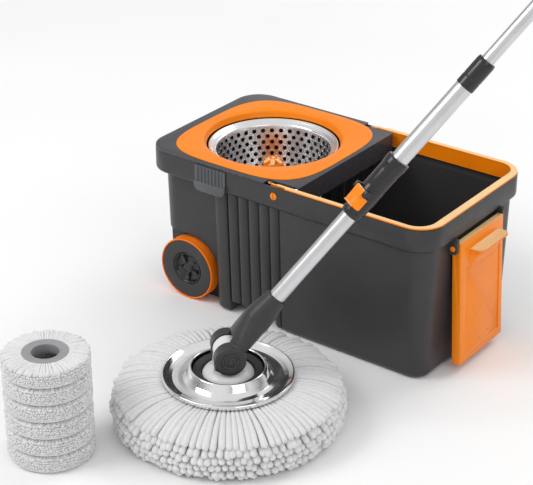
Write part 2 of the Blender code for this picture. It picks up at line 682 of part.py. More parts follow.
def build_upper_handle(frame):
    build_collar(frame)
    build_rod(frame)
    make("middle_tube", turned(tube(MIDDLE_R, MIDDLE_R - 0.0007, *MIDDLE_TUBE), 20), "tube", frame)
    low, high = COUPLING
    floor = MIDDLE_TUBE[1] + 0.0003
    outside = MIDDLE_R + 0.0011
    profile = [(MIDDLE_R + 0.0003, low), (outside, low), (outside, high - 0.003),
               (outside - 0.0008, high), (UPPER_R + 0.0003, high),
               (UPPER_R + 0.0003, floor + 0.003), (0.0060, floor + 0.003), (0.0060, floor),
               (MIDDLE_R + 0.0003, floor)]
    make("coupling_collar", turned(profile, 20), "dark", frame)
    make("upper_tube", turned(tube(UPPER_R, UPPER_R - 0.0008, floor + 0.0033, UPPER_TUBE_TOP), 18),
         "tube", frame)
    low, high = GRIP
    hold = UPPER_R + 0.0003
    grip = [(hold, low), (0.0118, low), (0.0134, low + 0.004), (0.0134, low + 0.020),
            (0.0146, low + 0.060),
            (0.0134, high - 0.010), (0.0134, high), (hold, high)]
    make("grip", turned(grip, 20), "dark", frame)
    top = high + 0.0003
    cap = [(0, top), (0.0134, top), (0.0134, top + 0.004), (0.0104, top + 0.011), (0.0050, top + 0.0145),
           (0, top + 0.0150)]
    make("end_cap", turned(cap, 20), "orange", frame)


def build_head():
    axis = empty("head_axis", None, (HEAD_X, HEAD_Y, HEAD_LIFT), (0, 0, HANDLE_TURN - math.pi / 2))
    pin_z = PIN_Z - HEAD_LIFT
    base = [(0, 0.0640), (0.0150, 0.0630), (0.0290, 0.0590), (0.0355, 0.0530), (0.0362, 0.0460),
            (0.0080, 0.0460),
            (0.0080, 0.0305), (0, 0.0305)]
    lug = make("pivot_lug", turned(base, 24), "white", axis)
    tab_outline = arc(0, pin_z, LUG_R, -10, 190, 16) + [(-LUG_R, 0.0520), (LUG_R, 0.0520)]
    tab = make("lug_tab", prism(tab_outline, -LUG_T / 2, LUG_T / 2, "X"), None, axis)
    boolean(lug, tab, "UNION")
    under_fork = box((-0.04, -0.0222, 0.0592), (-LUG_T / 2, 0.0222, 0.08))
    for side, turn in (("a", 0), ("b", math.pi)):
        relief = make("lug_relief_" + side, under_fork.copy(), None, axis, (0, 0, 0), (0, 0, turn))
        boolean(lug, relief)
    under_fork.free()
    hole = make("lug_hole", prism(arc(0, pin_z, 0.0043, 0, 330, 11), -0.02, 0.02, "X"), None, axis)
    boolean(lug, hole)
    make("swivel_ring", turned([(0.0083, 0.0312), (0.0160, 0.0312), (0.0160, 0.0350), (0.0083, 0.0350)],
                               18), "steel", axis)
    plate = [(0.0085, 0.0356), (0.0750, 0.0356), (0.0750, 0.0400), (0.0700, 0.0425), (0.0485, 0.0425),
             (0.0485, 0.0560),
             (0.0470, 0.0570), (0.0370, 0.0540), (0.0370, 0.0450), (0.0085, 0.0450)]
    make("clip_plate", turned(plate, 24), "dark", axis)
    dish = [(DISH_R, 0.0470), (DISH_R, 0.0510), (0.0890, 0.0525), (0.0860, 0.0515), (0.0780, 0.0462),
            (0.0680, 0.0456),
            (0.0600, 0.0485), (0.0530, 0.0600), (0.0510, 0.0620), (0.0492, 0.0612), (0.0492, 0.0595),
            (0.0512, 0.0590),
            (0.0580, 0.0478), (0.0670, 0.0441), (0.0790, 0.0446), (0.0865, 0.0480), (0.0880, 0.0470)]
    make("dish", turned(dish, 28), "steel", axis)
    make("mop_ring", turned([(0.0500, 0.0268), (0.0810, 0.0268), (0.0810, 0.0350), (0.0500, 0.0350)],
                            28), "grey", axis)
    floor = -HEAD_LIFT
    fibre = [(0.0930, 0.0445), (0.1200, 0.0430), (0.1420, 0.0385), (0.1560, 0.0290), (HEAD_R, 0.0150),
             (HEAD_R, -0.0060),
             (0.1560, -0.0170), (0.1460, floor), (0.0500, floor), (0.0500, 0.0262), (0.0830, 0.0262),
             (0.0830, 0.0432),
             (0.0915, 0.0432)]
    make("mop_fibre", turned(fibre, 32), "fibre", axis)


def build_spares():
    for i in range(SPARE_COUNT):
        axis = empty("refill_axis_%d" % (i + 1), None, (SPARE_X, SPARE_Y, i * SPARE_H))
        low, high = 0.0, SPARE_H - 0.0004
        fibre = [(0.0322, high), (SPARE_R - 0.0045, high), (SPARE_R - 0.0010, high - 0.003),
                 (SPARE_R, high - 0.009),
                 (SPARE_R - 0.0010, low + 0.0025), (SPARE_R - 0.0040, low), (0.0322, low)]
        make("refill_fibre_%d" % (i + 1), turned(fibre, 18), "fibre", axis)
        ring = [(0.0184, high - 0.014), (0.0314, high - 0.014), (0.0314, high - 0.0006),
                (0.0184, high - 0.0006)]
        make("refill_ring_%d" % (i + 1), turned(ring, 18), "grey", axis)


def main():
    clear_scene()
    bail_hole = build_bucket()
    build_bail(bail_hole)
    build_tow_handle()
    build_wheels()
    build_latches()
    build_deck()
    build_trim()
    build_basket()
    frame = handle_frame()
    build_lower_handle(frame)
    build_upper_handle(frame)
    build_head()
    build_spares()


main()
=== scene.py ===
"""Looks of the spin mop set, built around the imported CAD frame. Metres, +Z up."""
import json
import math
import random

import bmesh
import bpy
from mathutils import Matrix, Vector


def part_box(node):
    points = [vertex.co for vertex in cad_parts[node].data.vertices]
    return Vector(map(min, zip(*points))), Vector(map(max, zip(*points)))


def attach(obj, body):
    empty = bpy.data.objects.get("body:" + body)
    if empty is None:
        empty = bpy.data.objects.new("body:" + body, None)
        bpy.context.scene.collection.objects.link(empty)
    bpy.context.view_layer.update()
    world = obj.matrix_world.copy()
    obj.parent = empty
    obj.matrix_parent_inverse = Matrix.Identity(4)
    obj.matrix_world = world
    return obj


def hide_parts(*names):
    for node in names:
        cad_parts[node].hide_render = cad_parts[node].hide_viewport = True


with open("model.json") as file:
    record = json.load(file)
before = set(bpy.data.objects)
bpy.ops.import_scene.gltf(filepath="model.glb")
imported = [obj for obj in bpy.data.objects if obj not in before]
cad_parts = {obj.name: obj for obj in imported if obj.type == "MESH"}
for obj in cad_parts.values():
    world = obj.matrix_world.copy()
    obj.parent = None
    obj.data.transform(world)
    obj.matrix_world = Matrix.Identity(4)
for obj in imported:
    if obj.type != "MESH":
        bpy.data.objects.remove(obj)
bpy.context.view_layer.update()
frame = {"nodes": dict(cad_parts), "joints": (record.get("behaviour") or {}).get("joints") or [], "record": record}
random.seed(7)

NODES = frame["nodes"]
JOINTS = {j["name"]: j for j in frame["joints"]}
SLOT_OF = {s["node"]: s["material_slot"] for s in frame["record"]["subparts"]}


def joint_point(name):
    return Vector(JOINTS[name]["pos_m"])


def joint_axis(name):
    return Vector(JOINTS[name]["axis"]).normalized()


def axes_at(origin, x_axis, z_axis):
    """World matrix with the given X and Z directions."""
    y_axis = z_axis.cross(x_axis)
    turn = Matrix((x_axis, y_axis, z_axis)).transposed().to_4x4()
    return Matrix.Translation(origin) @ turn


# ---------------------------------------------------------------- mesh helpers

def finish_bmesh(bm):
    bmesh.ops.remove_doubles(bm, verts=bm.verts, dist=1e-6)
    bmesh.ops.recalc_face_normals(bm, faces=bm.faces)


def make(name, bm, place=Matrix.Identity(4), smooth=32):
    finish_bmesh(bm)
    mesh = bpy.data.meshes.new(name)
    bm.to_mesh(mesh)
    bm.free()
    mesh.shade_smooth()
    mesh.set_sharp_from_angle(angle=math.radians(smooth))
    obj = bpy.data.objects.new(name, mesh)
    bpy.context.scene.collection.objects.link(obj)
    obj.matrix_world = place
    return obj


def apply_modifiers(obj, smooth=32):
    """Bake the modifiers into the mesh and shade it by angle."""
    graph = bpy.context.evaluated_depsgraph_get()
    mesh = bpy.data.meshes.new_from_object(obj.evaluated_get(graph))
    obj.modifiers.clear()
    obj.data = mesh
    mesh.shade_smooth()
    mesh.set_sharp_from_angle(angle=math.radians(smooth))


def combine(obj, tools, smooth=32):
    """Boolean a list of (bmesh, operation) into obj, in obj's own axes."""
    cutters = []
    for i, (bm, operation) in enumerate(tools):
        tool = make(f"{obj.name}_tool_{i}", bm, obj.matrix_world.copy())
        mod = obj.modifiers.new("boolean", "BOOLEAN")
        mod.operation = operation
        mod.object = tool
        mod.solver = "EXACT"
        cutters.append(tool)
    apply_modifiers(obj, smooth)
    for tool in cutters:
        bpy.data.objects.remove(tool)
    return obj


def soften(obj, width, segments=3, angle=30):
    mod = obj.modifiers.new("bevel", "BEVEL")
    mod.width = width
    mod.segments = segments
    mod.limit_method = "ANGLE"
    mod.angle_limit = math.radians(angle)
    mod.harden_normals = False
    apply_modifiers(obj, 50)
    return obj


def melt(obj, voxel, rounds):
    """Voxel remesh and smooth, for moulded pieces whose parts flow together."""
    remesh = obj.modifiers.new("remesh", "REMESH")
    remesh.mode = "VOXEL"
    remesh.voxel_size = voxel
    remesh.use_smooth_shade = True
    relax = obj.modifiers.new("relax", "SMOOTH")
    relax.iterations = rounds
    relax.factor = 0.5
    apply_modifiers(obj, 60)
    return obj


def turned(profile, segments=96):
    """Solid of revolution about Z from a closed (radius, height) profile."""
    bm = bmesh.new()
    rows = []
    for i in range(segments):
        c, s = math.cos(math.tau * i / segments), math.sin(math.tau * i / segments)
        rows.append([bm.verts.new((r * c, r * s, z)) for r, z in profile])
    count = len(profile)
    for i, row in enumerate(rows):
        after = rows[(i + 1) % segments]
        for k in range(count):
            m = (k + 1) % count
            if profile[k][0] < 1e-9 and profile[m][0] < 1e-9:
                continue
            bm.faces.new((row[k], row[m], after[m], after[k]))
    bmesh.ops.remove_doubles(bm, verts=bm.verts, dist=1e-7)
    return bm


def rounded(profile, radius, steps=4):
    """A closed profile with its corners rounded."""
    points = []
    count = len(profile)
    for i, (x, y) in enumerate(profile):
        here = Vector((x, y))
        back = Vector(profile[i - 1]) - here
        on = Vector(profile[(i + 1) % count]) - here
        reach = min(radius, back.length * 0.45, on.length * 0.45)
        if x < 1e-9 or reach < 1e-5:
            points.append((x, y))
            continue
        start, end = here + back.normalized() * reach, here + on.normalized() * reach
        for k in range(steps + 1):
            t = k / steps
            point = start * (1 - t) ** 2 + here * 2 * t * (1 - t) + end * t * t
            points.append((point.x, point.y))
    return points


def skin(rings, closed=False):
    """Solid through rings of equal point counts; closed joins the last ring to the first."""
    bm = bmesh.new()
    rows = [[bm.verts.new(p) for p in ring] for ring in rings]
    after = rows[1:] + rows[:1] if closed else rows[1:]
    for low, high in zip(rows, after):
        for i, vert in enumerate(low):
            j = (i + 1) % len(low)
            bm.faces.new((vert, low[j], high[j], high[i]))
    if not closed:
        bm.faces.new(reversed(rows[0]))
        bm.faces.new(rows[-1])
    return bm


def prism(outline, low, high, axis="Z"):
    """Extrude a 2D outline: (x, y) along Z, (x, z) along Y, (y, z) along X."""
    place = {
        "Z": lambda a, b, c: (a, b, c),
        "Y": lambda a, b, c: (a, c, b),
        "X": lambda a, b, c: (c, a, b),
    }[axis]
    return skin([[place(a, b, c) for a, b in outline] for c in (low, high)])


def box(low, high):
    (x0, y0, z0), (x1, y1, z1) = low, high
    return prism([(x0, y0), (x1, y0), (x1, y1), (x0, y1)], z0, z1)


def arc(cx, cy, r, start, end, steps):
    angles = [math.radians(start + (end - start) * i / steps) for i in range(steps + 1)]
    return [(cx + r * math.cos(a), cy + r * math.sin(a)) for a in angles]


# ---------------------------------------------------------------- materials

def link(tree, a, b):
    tree.links.new(a, b)


def object_noise(tree, scale, detail=3.0, stretch=(1, 1, 1)):
    coord = tree.nodes.new("ShaderNodeTexCoord")
    mapping = tree.nodes.new("ShaderNodeMapping")
    mapping.inputs["Scale"].default_value = stretch
    noise = tree.nodes.new("ShaderNodeTexNoise")
    noise.inputs["Scale"].default_value = scale
    noise.inputs["Detail"].default_value = detail
    link(tree, coord.outputs["Object"], mapping.inputs["Vector"])
    link(tree, mapping.outputs["Vector"], noise.inputs["Vector"])
    return noise.outputs["Fac"]


def ramp(tree, value, stops):
    node = tree.nodes.new("ShaderNodeValToRGB")
    node.color_ramp.elements[0].position = stops[0][0]
    node.color_ramp.elements[0].color = (*stops[0][1], 1)
    node.color_ramp.elements[1].position = stops[1][0]
    node.color_ramp.elements[1].color = (*stops[1][1], 1)
    link(tree, value, node.inputs["Fac"])
    return node.outputs["Color"]


def spread(tree, value, low, high):
    node = tree.nodes.new("ShaderNodeMapRange")
    node.inputs["From Min"].default_value = 0.3
    node.inputs["From Max"].default_value = 0.7
    node.inputs["To Min"].default_value = low
    node.inputs["To Max"].default_value = high
    link(tree, value, node.inputs["Value"])
    return node.outputs["Result"]


def bump(tree, value, strength, distance, before=None):
    node = tree.nodes.new("ShaderNodeBump")
    node.inputs["Strength"].default_value = strength
    node.inputs["Distance"].default_value = distance
    link(tree, value, node.inputs["Height"])
    if before:
        link(tree, before, node.inputs["Normal"])
    return node.outputs["Normal"]


def shaded(colour, factor):
    return tuple(min(1.0, c * factor) for c in colour)


def base_material(name):
    mat = bpy.data.materials.new(name)
    mat.use_nodes = True
    return mat, mat.node_tree, mat.node_tree.nodes["Principled BSDF"]


def mixed(tree, low, high, factor):
    node = tree.nodes.new("ShaderNodeMix")
    node.data_type = "RGBA"
    link(tree, factor, node.inputs["Factor"])
    link(tree, low, node.inputs["A"])
    link(tree, high, node.inputs["B"])
    return node.outputs["Result"]


def plastic(name, colour, rough, grain=0.05, edge_highlight_gain=1.35, gloss=0.35, coat=0.0, scale=1400):
    """Moulded plastic: mottled colour, convex edges painted paler as a painted edge highlight, fine spark-eroded
    grain.
    """
    mat, tree, shader = base_material(name)
    mottle = ramp(tree, object_noise(tree, 22, 4), ((0.3, shaded(colour, 0.94)), (0.7, shaded(colour, 1.06))))
    # painted edge highlight: convex edges (pointiness) are mixed towards a paler, noisy copy of the colour
    edge = tree.nodes.new("ShaderNodeNewGeometry").outputs["Pointiness"]
    edge_highlight_mask = ramp(tree, edge, ((0.515, (0, 0, 0)), (0.6, (1, 1, 1))))
    pale = ramp(tree, object_noise(tree, 160, 2), ((0.3, shaded(colour, 1.0)), (0.7, shaded(colour, edge_highlight_gain))))
    link(tree, mixed(tree, mottle, pale, edge_highlight_mask), shader.inputs["Base Color"])
    link(tree, spread(tree, object_noise(tree, 60, 3), rough - 0.05, rough + 0.06),
         shader.inputs["Roughness"])
    fine = bump(tree, object_noise(tree, scale, 2), grain, 0.0004)
    link(tree, bump(tree, object_noise(tree, 45, 2), grain * 0.5, 0.0015, fine), shader.inputs["Normal"])
    shader.inputs["Specular IOR Level"].default_value = gloss
    shader.inputs["Coat Weight"].default_value = coat
    shader.inputs["Coat Roughness"].default_value = 0.08
    return mat


def lit_top_plastic(name, colour, top, rough):
    """Glossy plastic with a painted highlight: faces that look up at rest are mixed towards the pale colour top,
    painting in the light they catch so they read as cream.
    """
    mat = plastic(name, colour, rough, 0.03, 1.15, 0.3)
    tree = mat.node_tree
    shader = tree.nodes["Principled BSDF"]
    plain = shader.inputs["Base Color"].links[0].from_socket
    coord = tree.nodes.new("ShaderNodeTexCoord")
    part = tree.nodes.new("ShaderNodeSeparateXYZ")
    link(tree, coord.outputs["Normal"], part.inputs["Vector"])
    # painted highlight: faces whose object-space normal points up are blended to the pale top colour
    top_highlight_mask = ramp(tree, part.outputs["Z"], ((0.55, (0, 0, 0)), (0.92, (1, 1, 1))))
    top_highlight_colour = ramp(tree, object_noise(tree, 18, 2), ((0.3, shaded(top, 0.94)), (0.7, shaded(top, 1.03))))
    link(tree, mixed(tree, plain, top_highlight_colour, top_highlight_mask), shader.inputs["Base Color"])
    return mat


def metal(name, colour, rough, stretch=(1, 1, 1), lines=0.06, scale=300):
    """Metal with drawn or turned lines and slight smudging."""
    mat, tree, shader = base_material(name)
    tint = ramp(tree, object_noise(tree, 30, 3), ((0.3, shaded(colour, 0.95)), (0.7, shaded(colour, 1.04))))
    link(tree, tint, shader.inputs["Base Color"])
    shader.inputs["Metallic"].default_value = 1.0
    streak = object_noise(tree, scale, 4, stretch)
    link(tree, spread(tree, streak, rough - 0.03, rough + 0.06), shader.inputs["Roughness"])
    link(tree, bump(tree, streak, lines, 0.0002), shader.inputs["Normal"])
    return mat


def microfibre(name, colour, scale):
    """Looped white microfibre: fuzzy sheen, looped bump and soft grey painted shade in the hollows between loops.
    """
    mat, tree, shader = base_material(name)
    coord = tree.nodes.new("ShaderNodeTexCoord")
    loops = tree.nodes.new("ShaderNodeTexVoronoi")
    loops.inputs["Scale"].default_value = scale
    link(tree, coord.outputs["Object"], loops.inputs["Vector"])
    # painted shade: colour darkens away from each loop's centre, towards the hollows between loops
    tint = ramp(tree, loops.outputs["Distance"], ((0.0, shaded(colour, 1.0)), (0.75, shaded(colour, 0.8))))
    soft = ramp(tree, object_noise(tree, 90, 3), ((0.3, shaded(colour, 0.93)), (0.7, shaded(colour, 1.03))))
    half = tree.nodes.new("ShaderNodeMix")
    half.data_type = "RGBA"
    half.inputs["Factor"].default_value = 0.5
    link(tree, tint, half.inputs["A"])
    link(tree, soft, half.inputs["B"])
    link(tree, half.outputs["Result"], shader.inputs["Base Color"])
    shader.inputs["Roughness"].default_value = 0.95
    shader.inputs["Sheen Weight"].default_value = 0.35
    shader.inputs["Sheen Roughness"].default_value = 0.5
    fine = bump(tree, object_noise(tree, scale * 1.7, 3), 0.35, 0.0006)
    link(tree, bump(tree, loops.outputs["Distance"], 0.45, 0.001, fine), shader.inputs["Normal"])
    return mat


GREY = (0.04, 0.039, 0.041)
ORANGE = (0.98, 0.245, 0.003)
MATERIALS = {
    "dark_plastic": plastic("dark_plastic", GREY, 0.36, 0.04, 1.5, 0.32),
    "deck_plastic": plastic("deck_plastic", (0.05, 0.05, 0.056), 0.26, 0.03, 1.5, 0.45),
    "latch_plastic": plastic("latch_plastic", (0.088, 0.091, 0.098), 0.4, 0.05, 1.4, 0.35),
    "orange_plastic": plastic("orange_plastic", ORANGE, 0.34, 0.03, 1.15, 0.22),
    "orange_tread": plastic("orange_tread", (0.95, 0.2, 0.004), 0.5, 0.12, 1.2, 0.2, scale=900),
    "bright_steel": metal("bright_steel", (0.86, 0.86, 0.87), 0.09, (1, 1, 6), 0.012, 60),
    "plain_steel": metal("plain_steel", (0.62, 0.62, 0.63), 0.28, (1, 1, 12), 0.1),
    "tube_metal": metal("tube_metal", (0.66, 0.66, 0.67), 0.3, (1, 1, 0.02), 0.04, 400),
    "white_plastic": plastic("white_plastic", (0.74, 0.74, 0.75), 0.3, 0.03, 1.0, 0.4, 0.2),
    "grey_plastic": plastic("grey_plastic", (0.3, 0.3, 0.31), 0.42, 0.06, 1.2, 0.35),
    "microfibre": microfibre("microfibre", (0.8, 0.8, 0.805), 520),
}
BLACK = plastic("collar_black", (0.014, 0.014, 0.016), 0.24, 0.04, 1.8, 0.5)
# orange plastic with a painted cream highlight on its upward-facing faces
TOP_LIT_ORANGE = lit_top_plastic("orange_painted_top_highlight", ORANGE, (0.92, 0.6, 0.28), 0.32)
BASKET_STEEL = metal("basket_steel", (0.84, 0.84, 0.85), 0.2, (1, 1, 8), 0.015, 60)


def show(obj, slot, body, *nodes, look=None):
    """Give a piece its material (picked by slot name unless a look is given), put it on its body and hide the CAD
    nodes it stands for.
    """
    obj.data.materials.clear()
    obj.data.materials.append(look or MATERIALS[slot])
    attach(obj, body)
    if nodes:
        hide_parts(*nodes)
    return obj


# ---------------------------------------------------------------- dimensions from the frame

BASE_LOW, BASE_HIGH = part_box("bucket_body")
LEFT, FRONT, REAR = BASE_LOW.x, BASE_LOW.y, BASE_HIGH.y
RIGHT = -LEFT
RIM = BASE_HIGH.z
CORNER_R = 0.04
WALL = 0.003
TOP_INSET, END_INSET, SIDE_INSET = 0.008, 0.012, 0.016
BAND_LOW, LEDGE_Z = 0.205, 0.2125
RECESS, FLUTE_DEPTH = 0.013, 0.004
RIDGE_START, FLUTE_START, FLUTE_PITCH, FLUTE_COUNT = 0.118, 0.148, 0.019, 5
NOTCH_X = (LEFT + 0.148, LEFT + 0.234)
NOTCH_H, FOOT = 0.022, 0.01
WHEEL_AT = joint_point("front_wheel_spin")
ARCH_R, ARCH_DEPTH = 0.056, 0.045
BASKET_AT = Vector((joint_point("basket_spin").x, 0, 0))
DECK_LOW, DECK_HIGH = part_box("deck_cover")
TRIM_LOW, TRIM_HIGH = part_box("deck_trim")
HANDLE = axes_at(joint_point("head_tilt"), joint_axis("head_tilt"), joint_axis("handle_press"))
HEAD_LIFT = 0.023
HEAD_AT = Vector((HANDLE.translation.x, HANDLE.translation.y, HEAD_LIFT))
HEAD = axes_at(HEAD_AT, joint_axis("head_tilt"), Vector((0, 0, 1)))
LEVER = HANDLE.inverted() @ axes_at(joint_point("lock_lever_hinge"), -joint_axis("lock_lever_hinge"),
                                    joint_axis("handle_press"))
COLLAR_SPAN = (0.252, 0.35)
GRIP_SPAN = (1.05, 1.17)
PIN_HOLE_R = 0.0029
FORK_PIN_HOLE_R = 0.0043


def pin_hole(x, z, low, high):
    """Cutter along Y for a hinge pin."""
    return prism(arc(x, z, PIN_HOLE_R, 0, 345, 23), low, high, "Y")


def fork_pin_hole(z, low, high):
    """Cutter along X for the fork pin."""
    return prism(arc(0, z, FORK_PIN_HOLE_R, 0, 345, 23), low, high, "X")


# ---------------------------------------------------------------- bucket

def flute_stations():
    points = [(RIDGE_START, RECESS), (RIDGE_START + 0.0015, 0.0095), (RIDGE_START + 0.003, 0.0065),
              (RIDGE_START + 0.006, 0.0028), (RIDGE_START + 0.01, 0.0008), (RIDGE_START + 0.015, 0.0)]
    points += [(FLUTE_START - 0.006, 0.0), (FLUTE_START - 0.003, 0.0004), (FLUTE_START - 0.0012, 0.0014)]
    for i in range(FLUTE_COUNT):
        start = FLUTE_START + i * FLUTE_PITCH
        for k in range(10):
            t = k / 10
            depth = FLUTE_DEPTH * (1 - math.sqrt(max(0.0, 1 - (2 * t - 1) ** 2)))
            points.append((start + FLUTE_PITCH * t, depth))
    end = FLUTE_START + FLUTE_COUNT * FLUTE_PITCH
    return points + [(end, FLUTE_DEPTH), (end + 0.0006, 0.0014), (end + 0.002, 0.0003), (end + 0.004, 0.0)]


def bucket_ring(z, end_inset, side_inset, feature):
    recess = RECESS * feature
    x0, x1 = LEFT + end_inset, RIGHT - end_inset
    y0, y1 = FRONT + side_inset, REAR - side_inset
    r = CORNER_R - max(end_inset, side_inset) * 0.9
    side = [(LEFT + d, depth * feature) for d, depth in flute_stations()]
    points = [(x, y0 + depth) for x, depth in side]
    points += arc(x1 - r, y0 + r, r, -90, 0, 18) + arc(x1 - r, y1 - r, r, 0, 90, 18)
    points += [(x, y1 - depth) for x, depth in reversed(side)]
    points += arc(x0 + r, y1 - recess - r, r, 90, 180, 18)
    points += arc(x0 + r, y0 + recess + r, r, 180, 270, 18)
    return [(x, y, z) for x, y in points]


def taper(z):
    t = z / BAND_LOW
    return END_INSET + (TOP_INSET - END_INSET) * t, SIDE_INSET + (TOP_INSET - SIDE_INSET) * t


def foot_edge(edge, side, grow):
    reach = FOOT + (math.sqrt(2) - 1) * grow
    return [(edge + side * reach, -0.02), (edge + side * reach, grow),
            (edge + side * (grow + reach * 0.22), reach * 0.3 + grow * 0.6), (edge + side * grow, reach)]


def bucket_piece():
    rings = []
    for z, extra in ((0, 0.01), (0.001, 0.006), (0.003, 0.0028), (0.006, 0.001), (0.01, 0), (BAND_LOW, 0)):
        end, side = taper(z)
        rings.append(bucket_ring(z, end + extra, side + extra, 1))
    rings.append(bucket_ring(0.2068, 0.006, 0.006, 0.72))
    for z, inset in ((0.2114, 0.0013), (0.2125, 0.0005), (0.2142, 0), (RIM - 0.0014, 0),
                     (RIM - 0.0005, 0.0003), (RIM, 0.0011)):
        rings.append(bucket_ring(z, inset, inset, 0))
    inner = []
    for z, extra in ((WALL, 0.01), (WALL + 0.001, 0.006), (WALL + 0.004, 0.002), (WALL + 0.01, 0),
                     (LEDGE_Z, 0)):
        end, side = taper(z)
        inner.append(bucket_ring(z, end + WALL + extra, side + WALL + extra, 1))
    for z in (LEDGE_Z + 0.001, RIM - 0.001):
        inner.append(bucket_ring(z, WALL, WALL, 0))
    inner += [bucket_ring(RIM + 0.0001, WALL - 0.0008, WALL - 0.0008, 0),
              bucket_ring(RIM + 0.02, WALL - 0.0008, WALL - 0.0008, 0)]
    body = make("bucket_shell", skin(rings))
    cavity = make("bucket_cavity", skin(inner))
    arch = foot_edge(WHEEL_AT.x + ARCH_R, 1, 0) + arc(WHEEL_AT.x, WHEEL_AT.z, ARCH_R, 0, 90, 24)
    arch += [(LEFT - 0.02, WHEEL_AT.z + ARCH_R), (LEFT - 0.02, -0.02)]
    grown = foot_edge(WHEEL_AT.x + ARCH_R, 1, WALL) + arc(WHEEL_AT.x, WHEEL_AT.z, ARCH_R + WALL, 0, 90, 24)
    grown += [(LEFT - 0.02, WHEEL_AT.z + ARCH_R + WALL), (LEFT - 0.02, -0.02)]
    notch = foot_edge(NOTCH_X[1], 1, 0) + [(NOTCH_X[1], NOTCH_H),
                                           (NOTCH_X[0], NOTCH_H)] + foot_edge(NOTCH_X[0], -1, 0)[::-1]
    roof = foot_edge(NOTCH_X[1], 1, WALL) + [(NOTCH_X[1] + WALL, NOTCH_H + WALL),
                                             (NOTCH_X[0] - WALL, NOTCH_H + WALL)]
    roof += foot_edge(NOTCH_X[0], -1, WALL)[::-1]
    liners = [(prism(grown, FRONT - 0.02, FRONT + ARCH_DEPTH + WALL, "Y"), "DIFFERENCE"),
              (prism(grown, REAR - ARCH_DEPTH - WALL, REAR + 0.02, "Y"), "DIFFERENCE"),
              (prism(roof, FRONT - 0.01, REAR + 0.01, "Y"), "DIFFERENCE")]
    combine(cavity, liners)
    hollow = bmesh.new()
    hollow.from_mesh(cavity.data)
    bpy.data.objects.remove(cavity)
    tow = joint_point("tow_hinge")
    bail = joint_point("bail_hinge")
    ear_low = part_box("tow_handle")[0].y - 0.001
    ear_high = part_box("tow_handle")[1].y + 0.001
    tools = [(prism(arch, FRONT - 0.02, FRONT + ARCH_DEPTH, "Y"), "DIFFERENCE"),
             (prism(arch, REAR - ARCH_DEPTH, REAR + 0.02, "Y"), "DIFFERENCE"),
             (prism(notch, FRONT - 0.01, REAR + 0.01, "Y"), "DIFFERENCE"),
             (hollow, "DIFFERENCE")]
    for y0, y1 in ((ear_low - 0.0055, ear_low), (ear_high, ear_high + 0.0055)):
        ear = [(RIGHT - 0.0105, 0.2118), (RIGHT - 0.0105, 0.188), (RIGHT + 0.0015, 0.188),
               (RIGHT + 0.0045, 0.1895),
               (RIGHT + 0.0055, 0.193), (RIGHT + 0.0055, 0.209), (RIGHT + 0.004, 0.2118)]
        tools.append((prism(ear, y0, y1, "Y"), "UNION"))
    tools.append((pin_hole(tow.x, tow.z, -0.09, 0.09), "DIFFERENCE"))
    tools.append((pin_hole(bail.x, bail.z, FRONT - 0.01, REAR + 0.01), "DIFFERENCE"))
    combine(body, tools, 28)
    show(body, "dark_plastic", "bucket", "bucket_body")


def pin_piece(node, inward, slotted):
    """Headed pin along Y with a screwdriver slot in its round head."""
    low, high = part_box(node)
    radius = (high.z - low.z) / 2
    outer = low.y if inward > 0 else high.y
    length = high.y - low.y
    at = Vector(((low.x + high.x) / 2, outer, (low.z + high.z) / 2))
    profile = [(0, 0), (radius * 0.8, 0.0001), (radius * 0.97, 0.0006), (radius, 0.0013), (0.0025, 0.0013),
               (0.0025, length - 0.001), (0.0016, length), (0, length)]
    place = axes_at(at, Vector((1, 0, 0)), Vector((0, inward, 0)))
    pin = make(node + "_piece", turned(profile, 40), place)
    if slotted:
        combine(pin, [(box((-0.0008, -0.005, -0.001), (0.0008, 0.005, 0.0011)), "DIFFERENCE")])
    show(pin, "orange_plastic", "bucket", node)


def bail_piece():
    """U-shaped skirt inside the rim with a flange over it, lofted along the U."""
    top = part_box("bail_handle")[1].z
    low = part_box("bail_handle")[0].z
    at = joint_point("bail_hinge")
    under = top - 0.0024
    starts = (at.x - 0.009, at.x + 0.002, at.x + 0.018)

    def path(offset, r, end):
        points = [(x, FRONT + offset) for x in stations]
        points += arc(RIGHT - end - r, FRONT + offset + r, r, -90, 0, 24)
        points += arc(RIGHT - end - r, REAR - offset - r, r, 0, 90, 24)
        return points + [(x, REAR - offset) for x in reversed(stations)]

    stations = [starts[0], starts[0] + 0.0006, starts[1] - 0.0006, starts[1], starts[2] - 0.0008, starts[2]]
    section = [(0.0055, 0.0345, 0.0055, low + 0.0006), (0.0055, 0.0345, 0.0055, under),
               (0.001, 0.039, 0.001, under),
               (0.0006, 0.0394, 0.0006, under + 0.0005), (0.0006, 0.0394, 0.0006, top - 0.0007),
               (0.0009, 0.0391, 0.0009, top - 0.0002), (0.0015, 0.0385, 0.0015, top),
               (0.0076, 0.0284, 0.0116, top),
               (0.0082, 0.0278, 0.0122, top - 0.0002), (0.0085, 0.0275, 0.0125, top - 0.0007),
               (0.0085, 0.0275, 0.0125, under + 0.0004), (0.0083, 0.0277, 0.0122, under),
               (0.008, 0.032, 0.008, under),
               (0.008, 0.032, 0.008, low + 0.0005), (0.0076, 0.0324, 0.0076, low),
               (0.0059, 0.0341, 0.0059, low)]
    tracks = [path(offset, r, end) for offset, r, end, z in section]
    count = len(tracks[0])
    rings = []
    for i in range(count):
        step = min(i, count - 1 - i)
        ring = []
        for (offset, r, end, z), track in zip(section, tracks):
            x, y = track[i]
            if step < 3:
                inset = min(max(offset, 0.0055), 0.008)
                y = FRONT + inset if y < 0 else REAR - inset
                z = min(z, top - 0.0014 - 0.0006 * (step == 0))
            elif step < 5:
                inset = max(offset, 0.0036)
                y = FRONT + inset if y < 0 else REAR - inset
            ring.append((x, y, z))
        rings.append(ring)
    bail = make("bail_piece", skin(rings), smooth=35)
    combine(bail, [(pin_hole(at.x, at.z, FRONT - 0.01, REAR + 0.01), "DIFFERENCE")], 35)
    show(bail, "orange_plastic", "bail", "bail_handle", look=TOP_LIT_ORANGE)


